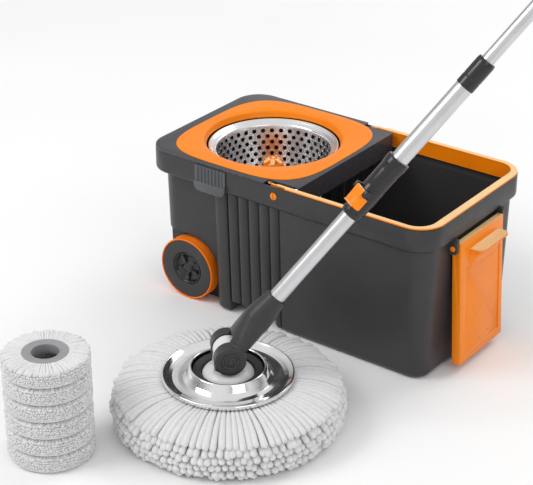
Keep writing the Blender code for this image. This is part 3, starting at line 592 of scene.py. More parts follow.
def tow_piece():
    """Hinged panel with a framed recess and a scooped pull lip."""
    hinge = joint_point("tow_hinge")
    lean = math.radians(3)
    place = Matrix.Translation(hinge) @ Matrix.Rotation(-lean, 4, "Y")
    y0, y1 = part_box("tow_handle")[0].y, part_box("tow_handle")[1].y
    inner, outer, top, bottom = -0.0045, 0.0085, 0.0065, -0.1855
    side = [(inner, bottom), (outer, bottom), (outer, top), (inner + 0.004, top), (inner, top - 0.004)]
    panel = make("tow_piece", prism(side, y0, y1, "Y"), place)
    groove = 0.0014
    frame_y, frame_z = (y0 + 0.015, y1 - 0.009), (bottom + 0.011, -0.036)
    tools = [(box((outer - 0.0018, frame_y[0], frame_z[0]), (outer + 0.01, frame_y[1], frame_z[1])),
              "DIFFERENCE"),
             (box((outer - 0.004, frame_y[0] + groove, frame_z[0] + groove),
                  (outer - 0.0008, frame_y[1] - groove, frame_z[1] - groove)), "UNION"),
             (tow_scoop(outer, y0 + 0.026, y1 - 0.014), "UNION")]
    for a, b in ((y0 - 0.01, y0 + 0.01), (y1 - 0.01, y1 + 0.01)):
        tools.append((pin_hole(0, 0, a, b), "DIFFERENCE"))
    combine(panel, tools)
    soften(panel, 0.0007, 2)
    show(panel, "orange_plastic", "tow", "tow_handle", look=TOP_LIT_ORANGE)


def tow_scoop(outer, y0, y1):
    """Pull lip: a shelf whose underside sweeps down into the panel as an arch."""
    levels = ((-0.0105, 0.019), (-0.0112, 0.0198), (-0.0135, 0.02), (-0.015, 0.0188), (-0.018, 0.015),
              (-0.022, 0.0112), (-0.027, 0.0078), (-0.033, 0.0048), (-0.04, 0.0022), (-0.047, -0.002))
    rings = []
    for z, reach in levels:
        flat = max(0.0, (-0.015 - z) / 0.032)
        spread_y = (y1 - y0) * 0.13 * (flat ** 0.6)
        a, b = y0 - spread_y * 0.55, y1 + spread_y * 0.05
        ring = [(outer - 0.004, a, z), (outer - 0.004, b, z)]
        for k in range(13):
            t = k / 12
            y = b + (a - b) * t
            shape = min(1.0, 4.2 * math.sqrt(max(0.0, t * (1 - t))) ** 1.2) if flat else min(1.0,
                                                                                             9 * min(t,
                                                                                                     1 - t) + 0.8)
            ring.append((outer - 0.0035 + (reach + 0.0035) * shape, y, z))
        rings.append(ring)
    return skin(rings)


def latch_piece(side, body, inward):
    """Clip with a plain rounded lip below and a ribbed panel above."""
    low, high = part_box("latch_" + side)
    width = high.x - low.x
    mid = (low.x + high.x) / 2
    face = low.y if inward > 0 else high.y
    place = Matrix.Translation((mid, face, 0)) @ Matrix.Rotation(0 if inward > 0 else math.pi, 4, "Z")
    half, r = width / 2, 0.01
    z0, z1 = low.z, high.z
    split = z0 + (z1 - z0) * 0.36
    lip = arc(-half + r, z0 + r, r, 180, 270, 12) + arc(half - r, z0 + r, r, 270, 360, 12)
    lip += [(half, split + 0.0008), (-half, split + 0.0008)]
    latch = make("latch_" + side + "_piece", prism(lip, 0, 0.004, "Y"), place)
    ribs, pitch = 8, (width - 0.006) / 8
    comb = [(-half + 0.0004, 0.004), (-half + 0.0004, 0.0022)]
    for i in range(ribs):
        x = -half + 0.003 + pitch * (i + 0.5)
        comb += [(x - pitch * 0.3, 0.0022), (x - pitch * 0.16, 0.0004), (x + pitch * 0.16, 0.0004),
                 (x + pitch * 0.3, 0.0022)]
    comb += [(half - 0.0004, 0.0022), (half - 0.0004, 0.004)]
    combine(latch, [(prism(comb, split, z1 - 0.0008), "UNION")])
    soften(latch, 0.0004, 2)
    show(latch, "latch_plastic", body, "latch_" + side)


def wheel_pieces(side, body, inward):
    at = Vector((WHEEL_AT.x, inward * -joint_point("rear_wheel_spin").y, WHEEL_AT.z))
    place = axes_at(at, Vector((1, 0, 0)), Vector((0, inward, 0)))
    half, r = 0.011, WHEEL_AT.z
    tyre = [(0.0473, -half + 0.0008), (0.0477, -half + 0.0001), (0.0488, -half), (0.0497, -half + 0.001),
            (r, -half + 0.0026)]
    for i in range(5):
        z = -half + 0.005 + i * 0.003
        tyre += [(r, z), (r - 0.0005, z + 0.0004), (r - 0.0005, z + 0.0008), (r, z + 0.0012)]
    tyre += [(r, half - 0.0026), (0.0497, half - 0.001), (0.0488, half), (0.0473, half)]
    show(make(f"wheel_{side}_tyre_piece", turned(rounded(tyre, 0.0004, 2), 128), place), "orange_tread",
         body, f"wheel_{side}_tyre")
    hub = [(0.0264, -half + 0.0032), (0.0272, -half + 0.002), (0.029, -half + 0.0012),
           (0.046, -half + 0.0006),
           (0.0468, -half + 0.0014), (0.0468, half - 0.0015), (0.033, half - 0.0015), (0.031, half - 0.006),
           (0.012, half - 0.006), (0.01, half - 0.0015), (0.0042, half - 0.0015), (0.0042, -half + 0.0105),
           (0.0264, -half + 0.0105)]
    show(make(f"wheel_{side}_hub_piece", turned(rounded(hub, 0.0006, 3), 96), place), "dark_plastic", body,
         f"wheel_{side}_hub")
    cap = [(0, -half + 0.0032), (0.0055, -half + 0.0034), (0.0078, -half + 0.0044), (0.0088, -half + 0.0066),
           (0.012, -half + 0.0078), (0.018, -half + 0.008), (0.0212, -half + 0.0066), (0.0228, -half + 0.004),
           (0.024, -half + 0.0024), (0.0252, -half + 0.0022), (0.0259, -half + 0.0032),
           (0.0259, -half + 0.0099), (0, -half + 0.0099)]
    piece = make(f"wheel_{side}_cap_piece", turned(rounded(cap, 0.0008, 3), 96), place)
    bosses = []
    for i in range(5):
        spoke = box((0.006, -0.0017, -half + 0.0048), (0.0222, 0.0017, -half + 0.009))
        knob = prism(arc(0.015, 0, 0.0032, 0, 345, 23), -half + 0.004, -half + 0.009)
        for bm in (spoke, knob):
            bmesh.ops.rotate(bm, verts=bm.verts, cent=(0, 0, 0),
                             matrix=Matrix.Rotation(math.tau * (i + 0.3) / 5, 3, "Z"))
            bosses.append((bm, "UNION"))
    combine(piece, bosses)
    soften(piece, 0.0005, 2)
    show(piece, "deck_plastic", body, f"wheel_{side}_cap", look=BLACK)


# ---------------------------------------------------------------- deck and basket

def deck_piece():
    step_x, step_y, end_x, r = LEFT + 0.222, 0.0135, DECK_HIGH.x, CORNER_R
    outline = [(step_x, FRONT + 0.0005), (step_x, FRONT + step_y), (end_x, FRONT + step_y),
               (end_x, REAR - step_y), (step_x, REAR - step_y), (step_x, REAR - 0.0005)]
    outline += arc(LEFT + r, REAR - r, r - 0.0005, 90, 180, 24) + arc(LEFT + r, FRONT + r, r - 0.0005, 180,
                                                                      270, 24)
    deck = make("deck_piece", prism(outline, RIM + 0.0003, DECK_HIGH.z))
    hole = prism([(BASKET_AT.x + x, y) for x, y in arc(0, 0, 0.107, 0, 357.5, 143)], 0.2, 0.3)
    wall = box((end_x - 0.0028, FRONT + step_y, DECK_LOW.z), (end_x, REAR - step_y, DECK_HIGH.z - 0.0005))
    combine(deck, [(wall, "UNION"), (hole, "DIFFERENCE")])
    soften(deck, 0.0012, 3)
    show(deck, "deck_plastic", "deck", "deck_cover")


def trim_piece():
    """Orange plate, a rounded square outside and a round lipped opening inside."""
    count, power = 240, 3.8
    centre_x = (TRIM_LOW.x + TRIM_HIGH.x) / 2 - BASKET_AT.x
    half = ((TRIM_HIGH.x - TRIM_LOW.x) / 2, (TRIM_HIGH.y - TRIM_LOW.y) / 2)
    top = DECK_HIGH.z

    def edge(inset, z):
        points = []
        for i in range(count):
            c, s = math.cos(math.tau * i / count), math.sin(math.tau * i / count)
            r = (abs(c / (half[0] - inset)) ** power + abs(s / (half[1] - inset)) ** power) ** (-1 / power)
            points.append((centre_x + r * c, r * s, z))
        return points

    def circle(r, z):
        return [(r * math.cos(math.tau * i / count), r * math.sin(math.tau * i / count),
                 z) for i in range(count)]

    def between(t, z):
        outer, inner = edge(0.004, z), circle(0.106, z)
        return [tuple(a * (1 - t) + b * t for a, b in zip(p, q)) for p, q in zip(outer, inner)]

    rings = [edge(0, top + 0.0003), edge(0.0002, top + 0.0009), edge(0.001, top + 0.0013),
             between(0, top + 0.0013),
             between(0.5, top + 0.0012), circle(0.1064, top + 0.001), circle(0.1052, top + 0.0004),
             circle(0.104, top - 0.0018),
             circle(0.103, top - 0.0048), circle(0.1022, top - 0.0066), circle(0.1014, top - 0.008),
             circle(0.1018, top - 0.009),
             circle(0.1025, top - 0.0092), circle(0.1055, top - 0.003), circle(0.1058, top + 0.0003)]
    trim = make("trim_piece", skin(rings, closed=True), Matrix.Translation(BASKET_AT), 60)
    show(trim, "orange_plastic", "deck", "deck_trim")


def pierced_wall(profile_at, rows, columns, hole, bm):
    """Staggered round holes in a wall of revolution; rows of cells share their edge points."""
    side = 4
    steps = side * 4
    for row in range(rows):
        for column in range(columns):
            shift = column + 0.5 * (row % 2)
            edge, ring = [], []
            for k in range(steps):
                u, v = cell_edge(k, side)
                edge.append(wall_point(profile_at, (shift + u) / columns, (row + v) / rows))
                angle = math.radians(225) + math.tau * k / steps
                cu = 0.5 + hole[0] * math.cos(angle)
                cv = 0.5 + hole[1] * math.sin(angle)
                ring.append(wall_point(profile_at, (shift + cu) / columns, (row + cv) / rows))
            outer = [bm.verts.new(p) for p in edge]
            inner = [bm.verts.new(p) for p in ring]
            for k in range(steps):
                m = (k + 1) % steps
                bm.faces.new((outer[k], outer[m], inner[m], inner[k]))


def cell_edge(k, side):
    """Point k of a unit cell's boundary, anticlockwise from its low left corner."""
    t = (k % side) / side
    return ((t, 0.0), (1.0, t), (1 - t, 1.0), (0.0, 1 - t))[k // side]


def wall_point(profile_at, turn, height):
    r, z = profile_at(height)
    return (r * math.cos(math.tau * turn), r * math.sin(math.tau * turn), z)


def basket_pieces():
    """Pierced steel bowl, its dimples and the hub."""
    place = Matrix.Translation(BASKET_AT)
    low, high = (0.0732, 0.1462), (0.0868, 0.2272)
    columns, rows = 38, 9

    def wall(v):
        return low[0] + (high[0] - low[0]) * v, low[1] + (high[1] - low[1]) * v

    bm = bmesh.new()
    pitch_u = math.tau * 0.08 / columns
    pitch_v = (high[1] - low[1]) / rows
    radius = 0.0033
    pierced_wall(wall, rows, columns, (radius / pitch_u, radius / pitch_v), bm)
    steps = columns * 4
    upper = [high, (0.0872, 0.23), (0.0878, 0.2316), (0.0892, 0.2326), (0.0912, 0.2332), (0.093, 0.2342),
             (0.0948, 0.2358),
             (0.0964, 0.2374), (0.0976, 0.2378), (0.0986, 0.2374), (0.099, 0.2366), (0.0988, 0.2357)]
    lower = [low, (0.0722, 0.142), (0.0712, 0.14), (0.069, 0.1388), (0.06, 0.1388), (0.04, 0.138),
             (0.02, 0.1388), (0.01, 0.1388)]
    for band in (upper, lower):
        rows_of = [[bm.verts.new((r * math.cos(math.tau * i / steps), r * math.sin(math.tau * i / steps),
                                  z)) for i in range(steps)]
                   for r, z in band]
        for a, b in zip(rows_of, rows_of[1:]):
            for i in range(steps):
                bm.faces.new((a[i], a[(i + 1) % steps], b[(i + 1) % steps], b[i]))
    basket = make("basket_piece", bm, place, 50)
    shell = basket.modifiers.new("thickness", "SOLIDIFY")
    shell.thickness = 0.0009
    shell.offset = 0.0
    apply_modifiers(basket, 50)
    show(basket, "bright_steel", "spin_basket", "basket", look=BASKET_STEEL)
    dimples = bmesh.new()
    for row in range(1, rows):
        for column in range(columns):
            shift = column + 0.5 * (row % 2)
            r, z = wall(row / rows)
            turn = math.tau * shift / columns
            out = Vector((math.cos(turn), math.sin(turn), 0))
            spot = bmesh.ops.create_icosphere(dimples, subdivisions=1, radius=0.0009)["verts"]
            bmesh.ops.translate(dimples, verts=spot, vec=out * (r - 0.0004) + Vector((0, 0, z)))
    show(make("basket_dimples", dimples, place), "bright_steel", "spin_basket", look=BASKET_STEEL)
    hub_piece(place)


def hub_piece(place):
    """Toothed post in the middle of the basket."""
    post = [(0, 0.208), (0.0118, 0.206), (0.0122, 0.17), (0.0135, 0.15), (0.018, 0.142), (0.0186, 0.1398),
            (0.0095, 0.1395), (0.0095, 0.1315), (0.0045, 0.1315), (0.0045, 0.192), (0, 0.192)]
    hub = make("basket_hub_piece", turned(post, 72), place)
    tools = []
    for i in range(6):
        tooth = prism([(0.006, -0.004), (0.0155, -0.003), (0.0155, 0.003), (0.006, 0.004)], 0.19, 0.21)
        top = [v for v in tooth.verts if v.co.z > 0.2]
        for vert in top:
            vert.co.z = 0.2145 - (vert.co.x - 0.006) * 0.55
        bmesh.ops.rotate(tooth, verts=tooth.verts, cent=(0, 0, 0),
                         matrix=Matrix.Rotation(math.tau * i / 6, 3, "Z"))
        tools.append((tooth, "UNION"))
    crown = prism(arc(0, 0, 0.0095, 0, 300, 5), 0.2, 0.211)
    for vert in crown.verts:
        if vert.co.z > 0.205:
            vert.co.x *= 0.35
            vert.co.y *= 0.35
            vert.co.z = 0.215
    tools.append((crown, "UNION"))
    combine(hub, tools)
    soften(hub, 0.0005, 2)
    show(hub, "orange_plastic", "spin_basket", "basket_hub", look=TOP_LIT_ORANGE)


# ---------------------------------------------------------------- handle

def tube_pieces():
    for node, body, r, wall, low, high in (("lower_tube", "lower_handle", 0.0111, 0.001, 0.0363, 0.375),
                                           ("middle_tube", "upper_handle", 0.0121, 0.0007, 0.299, 0.496),
                                           ("upper_tube", "upper_handle", 0.009, 0.0008, 0.4996, 1.168)):
        profile = [(r, low), (r, high), (r - wall, high), (r - wall, low)]
        rings = int((high - low) / 0.04)
        outer = [(r, low + (high - low) * i / rings) for i in range(1, rings)]
        tube = make(node + "_piece", turned(profile[:1] + outer + profile[1:], 72), HANDLE)
        show(tube, "tube_metal", body, node)


def yoke_piece():
    sections = ((0.0, 0.0292, 0.012), (0.012, 0.0298, 0.014), (0.024, 0.0298, 0.0158),
                (0.034, 0.0286, 0.0168),
                (0.044, 0.0258, 0.018), (0.054, 0.0226, 0.0192), (0.064, 0.0204, 0.0198),
                (0.076, 0.0186, 0.0186),
                (0.088, 0.0168, 0.0168), (0.096, 0.0155, 0.0155), (0.101, 0.0146, 0.0146),
                (0.103, 0.014, 0.014))
    rings = [[(rx * math.cos(math.tau * i / 64), ry * math.sin(math.tau * i / 64),
               z) for i in range(64)] for z, rx, ry in sections]
    yoke = make("yoke_piece", skin(rings), HANDLE)
    boss = rounded([(0, -0.03), (0.0215, -0.03), (0.0215, 0.03), (0, 0.03)], 0.003, 5)
    boss_solid = turned(boss, 72)
    tip = prism([(-0.015, -0.014), (0.0, -0.0242), (0.015, -0.014)], -0.0285, 0.0285, "X")
    bmesh.ops.rotate(tip, verts=tip.verts, cent=(0, 0, 0), matrix=Matrix.Rotation(math.radians(-20), 3, "X"))
    turn = Matrix.Rotation(math.pi / 2, 3, "Y")
    bmesh.ops.rotate(boss_solid, verts=boss_solid.verts, cent=(0, 0, 0), matrix=turn)
    tools = [(boss_solid, "UNION"), (tip, "UNION"),
             (box((-0.0112, -0.03, -0.04), (0.0112, 0.03, 0.025)), "DIFFERENCE"),
             (turned([(0, 0.036), (0.0114, 0.036), (0.0114, 0.12), (0, 0.12)], 64), "DIFFERENCE"),
             (prism(arc(0, 0, 0.0125, 0, 355, 71), 0.028, 0.04, "X"), "DIFFERENCE"),
             (fork_pin_hole(0, -0.0265, 0.04), "DIFFERENCE")]
    combine(yoke, tools)
    melt(yoke, 0.0009, 6)
    show(yoke, "dark_plastic", "lower_handle", "yoke")
    pin = [(0, -0.0262), (0.0039, -0.0262), (0.0039, 0.0283), (0.0121, 0.0283), (0.0121, 0.0292),
           (0.0108, 0.03), (0.0086, 0.0296),
           (0.008, 0.029), (0.0074, 0.0296), (0.005, 0.03), (0.0044, 0.0294), (0.0038, 0.03), (0, 0.0302)]
    place = HANDLE @ Matrix.Rotation(math.pi / 2, 4, "Y")
    show(make("yoke_pin_piece", turned(pin, 72), place), "dark_plastic", "lower_handle", "yoke_pin")


def collar_pieces():
    low, high = COLLAR_SPAN
    profile = [(0.0117, low), (0.0134, low), (0.0147, low + 0.003), (0.0151, low + 0.008),
               (0.0145, low + 0.0095), (0.0145, low + 0.0105),
               (0.0154, low + 0.012), (0.0154, high - 0.048), (0.015, high - 0.0475), (0.015, high - 0.0465),
               (0.0154, high - 0.046),
               (0.0153, high - 0.02), (0.0158, high - 0.014), (0.0164, high - 0.01), (0.0164, high - 0.003),
               (0.0157, high),
               (0.0125, high), (0.0125, 0.2987), (0.0134, 0.2987), (0.0134, low + 0.0035),
               (0.0117, low + 0.0035)]
    collar = make("lock_collar_piece", turned(rounded(profile, 0.0005, 2), 96), HANDLE)
    tools = []
    for x in (-0.0126, 0.0098):
        lug = box((x, -0.003, -0.0045), (x + 0.0028, 0.0102, 0.004))
        lug.transform(LEVER)
        tools.append((lug, "UNION"))
    for k in range(2):
        groove = box((0.0142, -0.0016, high - 0.044), (0.017, 0.0016, high - 0.022))
        bmesh.ops.rotate(groove, verts=groove.verts, cent=(0, 0, 0),
                         matrix=Matrix.Rotation(LEVER.to_euler().z + math.pi * (0.35 + k * 0.8), 3, "Z"))
        tools.append((groove, "DIFFERENCE"))
    combine(collar, tools)
    soften(collar, 0.0004, 2, 45)
    show(collar, "dark_plastic", "upper_handle", "lock_collar", look=BLACK)
    radial = 0.0189
    wrap = arc(0, radial, 0.0196, 216, 324, 32) + arc(0, radial, 0.0161, 324, 216, 32)
    lever = make("lock_lever_piece", prism(wrap, -0.025, -0.0064), HANDLE @ LEVER)
    trims = []
    for side in (-1, 1):
        corner = prism([(side * 0.012, -0.0262), (side * 0.02, -0.0262), (side * 0.02, -0.019)], -0.02, 0.04,
                       "Y")
        trims.append((corner, "DIFFERENCE"))
    knuckle = [(-0.0016, -0.01), (0.0022, -0.008)] + arc(0, 0, 0.0026, 0, 180, 14) + [(-0.0026, -0.003)]
    rib = [(-0.0006, -0.0236), (-0.003, -0.0242), (-0.003, -0.025), (0.0004, -0.025)]
    combine(lever, trims + [(prism(knuckle, -0.0088, 0.0088, "X"), "UNION"),
                            (prism(rib, -0.009, 0.009, "X"), "UNION"),
                                    (prism(arc(0, 0, 0.0015, 0, 340, 17), -0.02, 0.02, "X"), "DIFFERENCE")])
    melt(lever, 0.00035, 3)
    show(lever, "orange_plastic", "lever", "lock_lever", look=TOP_LIT_ORANGE)


def upper_pieces():
    coupling = [(0.0124, 0.475), (0.0131, 0.475), (0.0132, 0.4762), (0.0132, 0.488), (0.0128, 0.4886),
                (0.0128, 0.4896), (0.0132, 0.4902),
                (0.0132, 0.514), (0.0124, 0.519), (0.0093, 0.519), (0.0093, 0.4993), (0.006, 0.4993),
                (0.006, 0.4963), (0.0124, 0.4963)]
    show(make("coupling_piece", turned(rounded(coupling, 0.0004, 2), 72), HANDLE), "dark_plastic",
         "upper_handle", "coupling_collar", look=BLACK)
    low, high = GRIP_SPAN
    grip = [(0.0093, low), (0.0118, low), (0.0134, low + 0.004)]
    count = 14
    for i in range(count):
        z = low + 0.01 + i * 0.0072
        swell = 0.0134 + 0.0012 * math.sin(math.pi * i / (count - 1))
        grip += [(swell, z), (swell, z + 0.0046), (swell - 0.0007, z + 0.0054), (swell - 0.0007, z + 0.0064)]
    grip += [(0.0134, high - 0.004), (0.0132, high), (0.0093, high)]
    show(make("grip_piece", turned(rounded(grip, 0.0004, 2), 72), HANDLE), "dark_plastic", "upper_handle",
         "grip")
    top = high + 0.0003
    cap = [(0, top), (0.0134, top), (0.0134, top + 0.004), (0.0122, top + 0.009), (0.0092, top + 0.0125),
           (0.005, top + 0.0145), (0, top + 0.015)]
    show(make("end_cap_piece", turned(rounded(cap, 0.0008, 3), 72), HANDLE), "orange_plastic",
         "upper_handle", "end_cap")


# ---------------------------------------------------------------- mop head and spare heads

def head_pieces():
    base = [(0, 0.064), (0.008, 0.0639), (0.015, 0.0628), (0.023, 0.0606), (0.029, 0.058), (0.033, 0.055),
            (0.0355, 0.051),
            (0.0362, 0.046), (0.008, 0.046), (0.008, 0.0305), (0, 0.0305)]
    pin_z = HANDLE.translation.z - HEAD_LIFT
    lug = make("pivot_lug_piece", turned(base, 96), HEAD)
    tab = arc(0, pin_z, 0.02, -12, 192, 60) + [(-0.0215, 0.056), (-0.0215, 0.052), (0.0215, 0.052),
                                               (0.0215, 0.056)]
    hole = fork_pin_hole(pin_z, -0.02, 0.02)
    tools = [(prism(tab, -0.01, 0.01, "X"), "UNION")]
    for x0, x1 in ((-0.04, -0.01), (0.01, 0.04)):
        tools.append((box((x0, -0.0222, 0.0592), (x1, 0.0222, 0.08)), "DIFFERENCE"))
    combine(lug, tools + [(hole, "DIFFERENCE")])
    melt(lug, 0.0008, 4)
    show(lug, "white_plastic", "pivot_base", "pivot_lug")
    plate = [(0.0085, 0.0356), (0.075, 0.0356), (0.075, 0.04), (0.07, 0.0425), (0.0485, 0.0425),
             (0.0485, 0.056), (0.047, 0.057),
             (0.043, 0.0556), (0.038, 0.0546), (0.037, 0.0536), (0.037, 0.045), (0.0085, 0.045)]
    show(make("clip_plate_piece", turned(rounded(plate, 0.0006, 3), 96), HEAD), "dark_plastic", "mop_head",
         "clip_plate")
    dish = [(0.0905, 0.047), (0.0906, 0.0508), (0.0897, 0.0524), (0.088, 0.0522), (0.0862, 0.0508),
            (0.082, 0.048), (0.076, 0.0461),
            (0.068, 0.0456), (0.062, 0.047), (0.057, 0.052), (0.0535, 0.059), (0.0518, 0.0616),
            (0.0505, 0.0621), (0.0494, 0.0612),
            (0.0492, 0.0596), (0.0506, 0.06), (0.0524, 0.0576), (0.056, 0.0504), (0.061, 0.0452),
            (0.068, 0.0441), (0.077, 0.0446),
            (0.083, 0.0466), (0.0872, 0.05), (0.0888, 0.0504), (0.0892, 0.047)]
    show(make("dish_piece", turned(rounded(dish, 0.0006, 3), 160), HEAD, 60), "bright_steel", "mop_head",
         "dish")


def strand(bm, points, radii, sides=8, cap=4):
    """A tube along points, built into bm, whose far end is a rounded knob."""
    ahead = (points[-1] - points[-2]).normalized()
    tip, size = points[-1], radii[-1]
    points, radii = list(points), list(radii)
    for k in range(1, cap + 1):
        angle = math.pi / 2 * k / (cap + 0.35)
        points.append(tip + ahead * size * math.sin(angle))
        radii.append(size * math.cos(angle))
    rows = []
    for i, point in enumerate(points):
        along = points[min(i + 1, len(points) - 1)] - points[max(i - 1, 0)]
        turn = along.to_track_quat("Z", "Y")
        rows.append([bm.verts.new(point + turn @ Vector((radii[i] * math.cos(math.tau * k / sides),
                                                         radii[i] * math.sin(math.tau * k / sides), 0)))
                     for k in range(sides)])
    for low, high in zip(rows, rows[1:]):
        for k in range(sides):
            m = (k + 1) % sides
            bm.faces.new((low[k], low[m], high[m], high[k]))
    bm.faces.new(reversed(rows[0]))
    bm.faces.new(rows[-1])


def fringe(bm, layer, offset=0.0):
    """One layer of strands round Z, each lying outwards, drooping and ending in a rounded knob."""
    count, root_r, root_z, tip_r, tip_z, thin, thick, arch = layer
    for i in range(count):
        turn = math.tau * (i + offset + random.uniform(-0.16, 0.16)) / count
        fat = thick * random.uniform(0.9, 1.1)
        reach = tip_r - fat + random.uniform(-0.003, 0.0012)
        drop = tip_z + random.uniform(-0.0016, 0.0016)
        sway = random.uniform(-0.012, 0.012)
        steps = 9
        points, radii = [], []
        for k in range(steps + 1):
            t = k / steps
            r = root_r + (reach - root_r) * t
            z = root_z + (drop - root_z) * t ** 2.4 + arch * math.sin(math.pi * t)
            a = turn + sway * t
            points.append(Vector((r * math.cos(a), r * math.sin(a), z)))
            bulge = 1 + 0.035 * math.sin(t * 15 + i * 1.7)
            radii.append((thin + (fat - thin) * min(1.0, t * 1.2)) * bulge)
        strand(bm, points, radii)


def mop_fibre_piece():
    """Strands in five layers that leave the plate together and end in rows of knobs down the rim."""
    bm = bmesh.new()
    layers = ((100, 0.083, 0.042, 0.156, 0.03, 0.0027, 0.005, 0.002),
              (104, 0.086, 0.033, 0.16, 0.0205, 0.0028, 0.005, 0.0015),
              (104, 0.09, 0.02, 0.162, 0.0108, 0.0028, 0.005, 0.0008),
              (104, 0.09, 0.005, 0.162, 0.0012, 0.0028, 0.005, 0.0),
              (100, 0.09, -0.006, 0.16, -0.0085, 0.0028, 0.005, 0.0),
              (96, 0.09, -0.014, 0.1545, -0.016, 0.0028, 0.0048, 0.0))
    for i, layer in enumerate(layers):
        fringe(bm, layer, 0.5 * (i % 2))
    core = turned([(0.052, -0.019), (0.14, -0.019), (0.149, -0.006), (0.15, 0.01), (0.144, 0.023),
                   (0.125, 0.0325),
                   (0.105, 0.0375), (0.091, 0.04), (0.0835, 0.0405), (0.0835, 0.0262), (0.052, 0.0262)], 96)
    join_into(bm, core)
    fibre = make("mop_fibre_piece", bm, HEAD, 70)
    show(fibre, "microfibre", "mop_head", "mop_fibre")


def join_into(bm, other):
    mesh = bpy.data.meshes.new("joined")
    other.to_mesh(mesh)
    other.free()
    bm.from_mesh(mesh)
    bpy.data.meshes.remove(mesh)


def spare_pieces():
    """Spare heads: a looped side wall, radial strands on top and a plastic ring."""
    for i in range(1, 7):
        low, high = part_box(f"refill_fibre_{i}")
        centre = Vector(((low.x + high.x) / 2, (low.y + high.y) / 2, low.z))
        radius = (high.x - low.x) / 2
        height = high.z - low.z
        bm = bmesh.new()
        rows, around, loop = 6, 112, 0.0021
        for row in range(rows):
            t = (row + 0.5) / rows
            z = 0.003 + (height - 0.0058) * t
            inset = 0.003 * abs(2 * t - 1) ** 5
            for k in range(around):
                turn = math.tau * (k + 0.5 * (row % 2) + random.uniform(-0.3, 0.3)) / around
                size = loop * random.uniform(0.75, 1.12)
                r = radius - inset - size + random.uniform(-0.0006, 0.0002)
                place = Vector((r * math.cos(turn), r * math.sin(turn),
                                min(height - size * 1.1, max(size * 1.1,
                                                             z + random.uniform(-0.0008, 0.0008)))))
                spot = bmesh.ops.create_icosphere(bm, subdivisions=1, radius=size)["verts"]
                bmesh.ops.translate(bm, verts=spot, vec=place)
        fringe(bm, (76, 0.031, height - 0.0019, radius - 0.001, height - 0.004, 0.0013, 0.0024, 0.0004))
        join_into(bm, turned([(0.0322, 0.001), (radius - 0.007, 0.0006), (radius - 0.0034, 0.0022),
                              (radius - 0.0026, height * 0.5),
                              (radius - 0.004, height - 0.0035), (radius - 0.008, height - 0.0022),
                              (0.0322, height - 0.0016)], 72))
        place = Matrix.Translation(centre)
        show(make(f"refill_fibre_{i}_piece", bm, place, 70), "microfibre", f"spare_{i}", f"refill_fibre_{i}")
        top = height - 0.0006
        ring = [(0.0184, top - 0.0134), (0.0314, top - 0.0134), (0.0314, top - 0.001), (0.0302, top),
                (0.0288, top - 0.0006),
                (0.024, top - 0.0012), (0.0206, top - 0.0012), (0.0196, top), (0.0184, top - 0.0008)]
        show(make(f"refill_ring_{i}_piece", turned(rounded(ring, 0.0004, 2), 72), place), "grey_plastic",
             f"spare_{i}", f"refill_ring_{i}")


# ---------------------------------------------------------------- stage

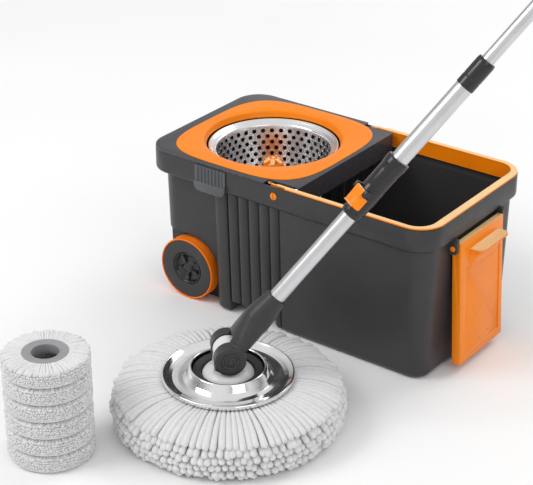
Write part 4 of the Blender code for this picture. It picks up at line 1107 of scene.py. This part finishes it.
def studio():
    floor = make("floor", prism([(-6, -6), (6, -6), (6, 6), (-6, 6)], -0.02, -0.0004))
    mat, tree, shader = base_material("pale_floor")
    link(tree, ramp(tree, object_noise(tree, 1.5, 2), ((0.3, (0.9, 0.9, 0.9)), (0.7, (0.93, 0.93, 0.93)))),
         shader.inputs["Base Color"])
    shader.inputs["Roughness"].default_value = 0.9
    shader.inputs["Specular IOR Level"].default_value = 0.1
    floor.data.materials.append(mat)
    world = bpy.data.worlds.new("studio")
    bpy.context.scene.world = world
    world.use_nodes = True
    tree = world.node_tree
    coord = tree.nodes.new("ShaderNodeTexCoord")
    around = tree.nodes.new("ShaderNodeTexGradient")
    around.gradient_type = "RADIAL"
    link(tree, coord.outputs["Generated"], around.inputs["Vector"])
    bands = ramp(tree, around.outputs["Fac"], ((0.0, (0.95, 0.95, 0.95)), (1.0, (0.95, 0.95, 0.95))))
    stops = bands.node.color_ramp.elements
    for at, level in ((0.1, 0.3), (0.22, 1.05), (0.34, 1.0), (0.44, 0.25), (0.52, 1.0), (0.62, 0.35),
                      (0.7, 1.05), (0.84, 0.9), (0.92, 0.4)):
        stops.new(at).color = (level, level, level, 1)
    split = tree.nodes.new("ShaderNodeSeparateXYZ")
    link(tree, coord.outputs["Generated"], split.inputs["Vector"])
    lift = ramp(tree, split.outputs["Z"], ((0.55, (0, 0, 0)), (0.8, (1, 1, 1))))
    above = ramp(tree, split.outputs["Z"], ((0.0, (1, 1, 1)), (1.0, (1, 1, 1))))
    link(tree, mixed(tree, bands, above, lift), tree.nodes["Background"].inputs["Color"])
    tree.nodes["Background"].inputs["Strength"].default_value = 0.8
    for name, at, aim, size, power in (("key", (-1.6, -2.2, 2.6), (0, 0, 0.1), 1.6, 46),
                                       ("fill", (2.6, -1.4, 1.8), (0, 0, 0.1), 1.8, 14),
                                       ("rim", (0.6, 2.6, 2.2), (0, 0, 0.2), 1.6, 26)):
        data = bpy.data.lights.new(name, "AREA")
        data.size = size
        data.energy = power
        lamp = bpy.data.objects.new(name, data)
        bpy.context.scene.collection.objects.link(lamp)
        lamp.location = at
        lamp.rotation_euler = (Vector(aim) - Vector(at)).to_track_quat("-Z", "Y").to_euler()
    camera = bpy.data.cameras.new("camera")
    camera.lens = 112.4
    camera.sensor_width = 36
    eye = bpy.data.objects.new("camera", camera)
    bpy.context.scene.collection.objects.link(eye)
    eye.location = (1.2611, -1.8664, 1.2553)
    eye.rotation_euler = (math.radians(90 - 27.12), 0, math.radians(36.57))
    bpy.context.scene.camera = eye
    bpy.context.scene.view_settings.view_transform = "Standard"


def dress_cad_nodes():
    """Inner CAD nodes keep their shapes and get the detailed material of their slot."""
    for name, obj in NODES.items():
        if not obj.hide_render:
            obj.data.materials.clear()
            obj.data.materials.append(MATERIALS[SLOT_OF[name]])


bucket_piece()
pin_piece("bail_pin_front", 1, True)
pin_piece("bail_pin_rear", -1, True)
pin_piece("tow_pin_front", 1, False)
pin_piece("tow_pin_rear", -1, False)
bail_piece()
tow_piece()
latch_piece("front", "front_latch", 1)
latch_piece("rear", "rear_latch", -1)
wheel_pieces("front", "front_wheel", 1)
wheel_pieces("rear", "rear_wheel", -1)
deck_piece()
trim_piece()
basket_pieces()
tube_pieces()
yoke_piece()
collar_pieces()
upper_pieces()
head_pieces()
mop_fibre_piece()
spare_pieces()
dress_cad_nodes()
studio()
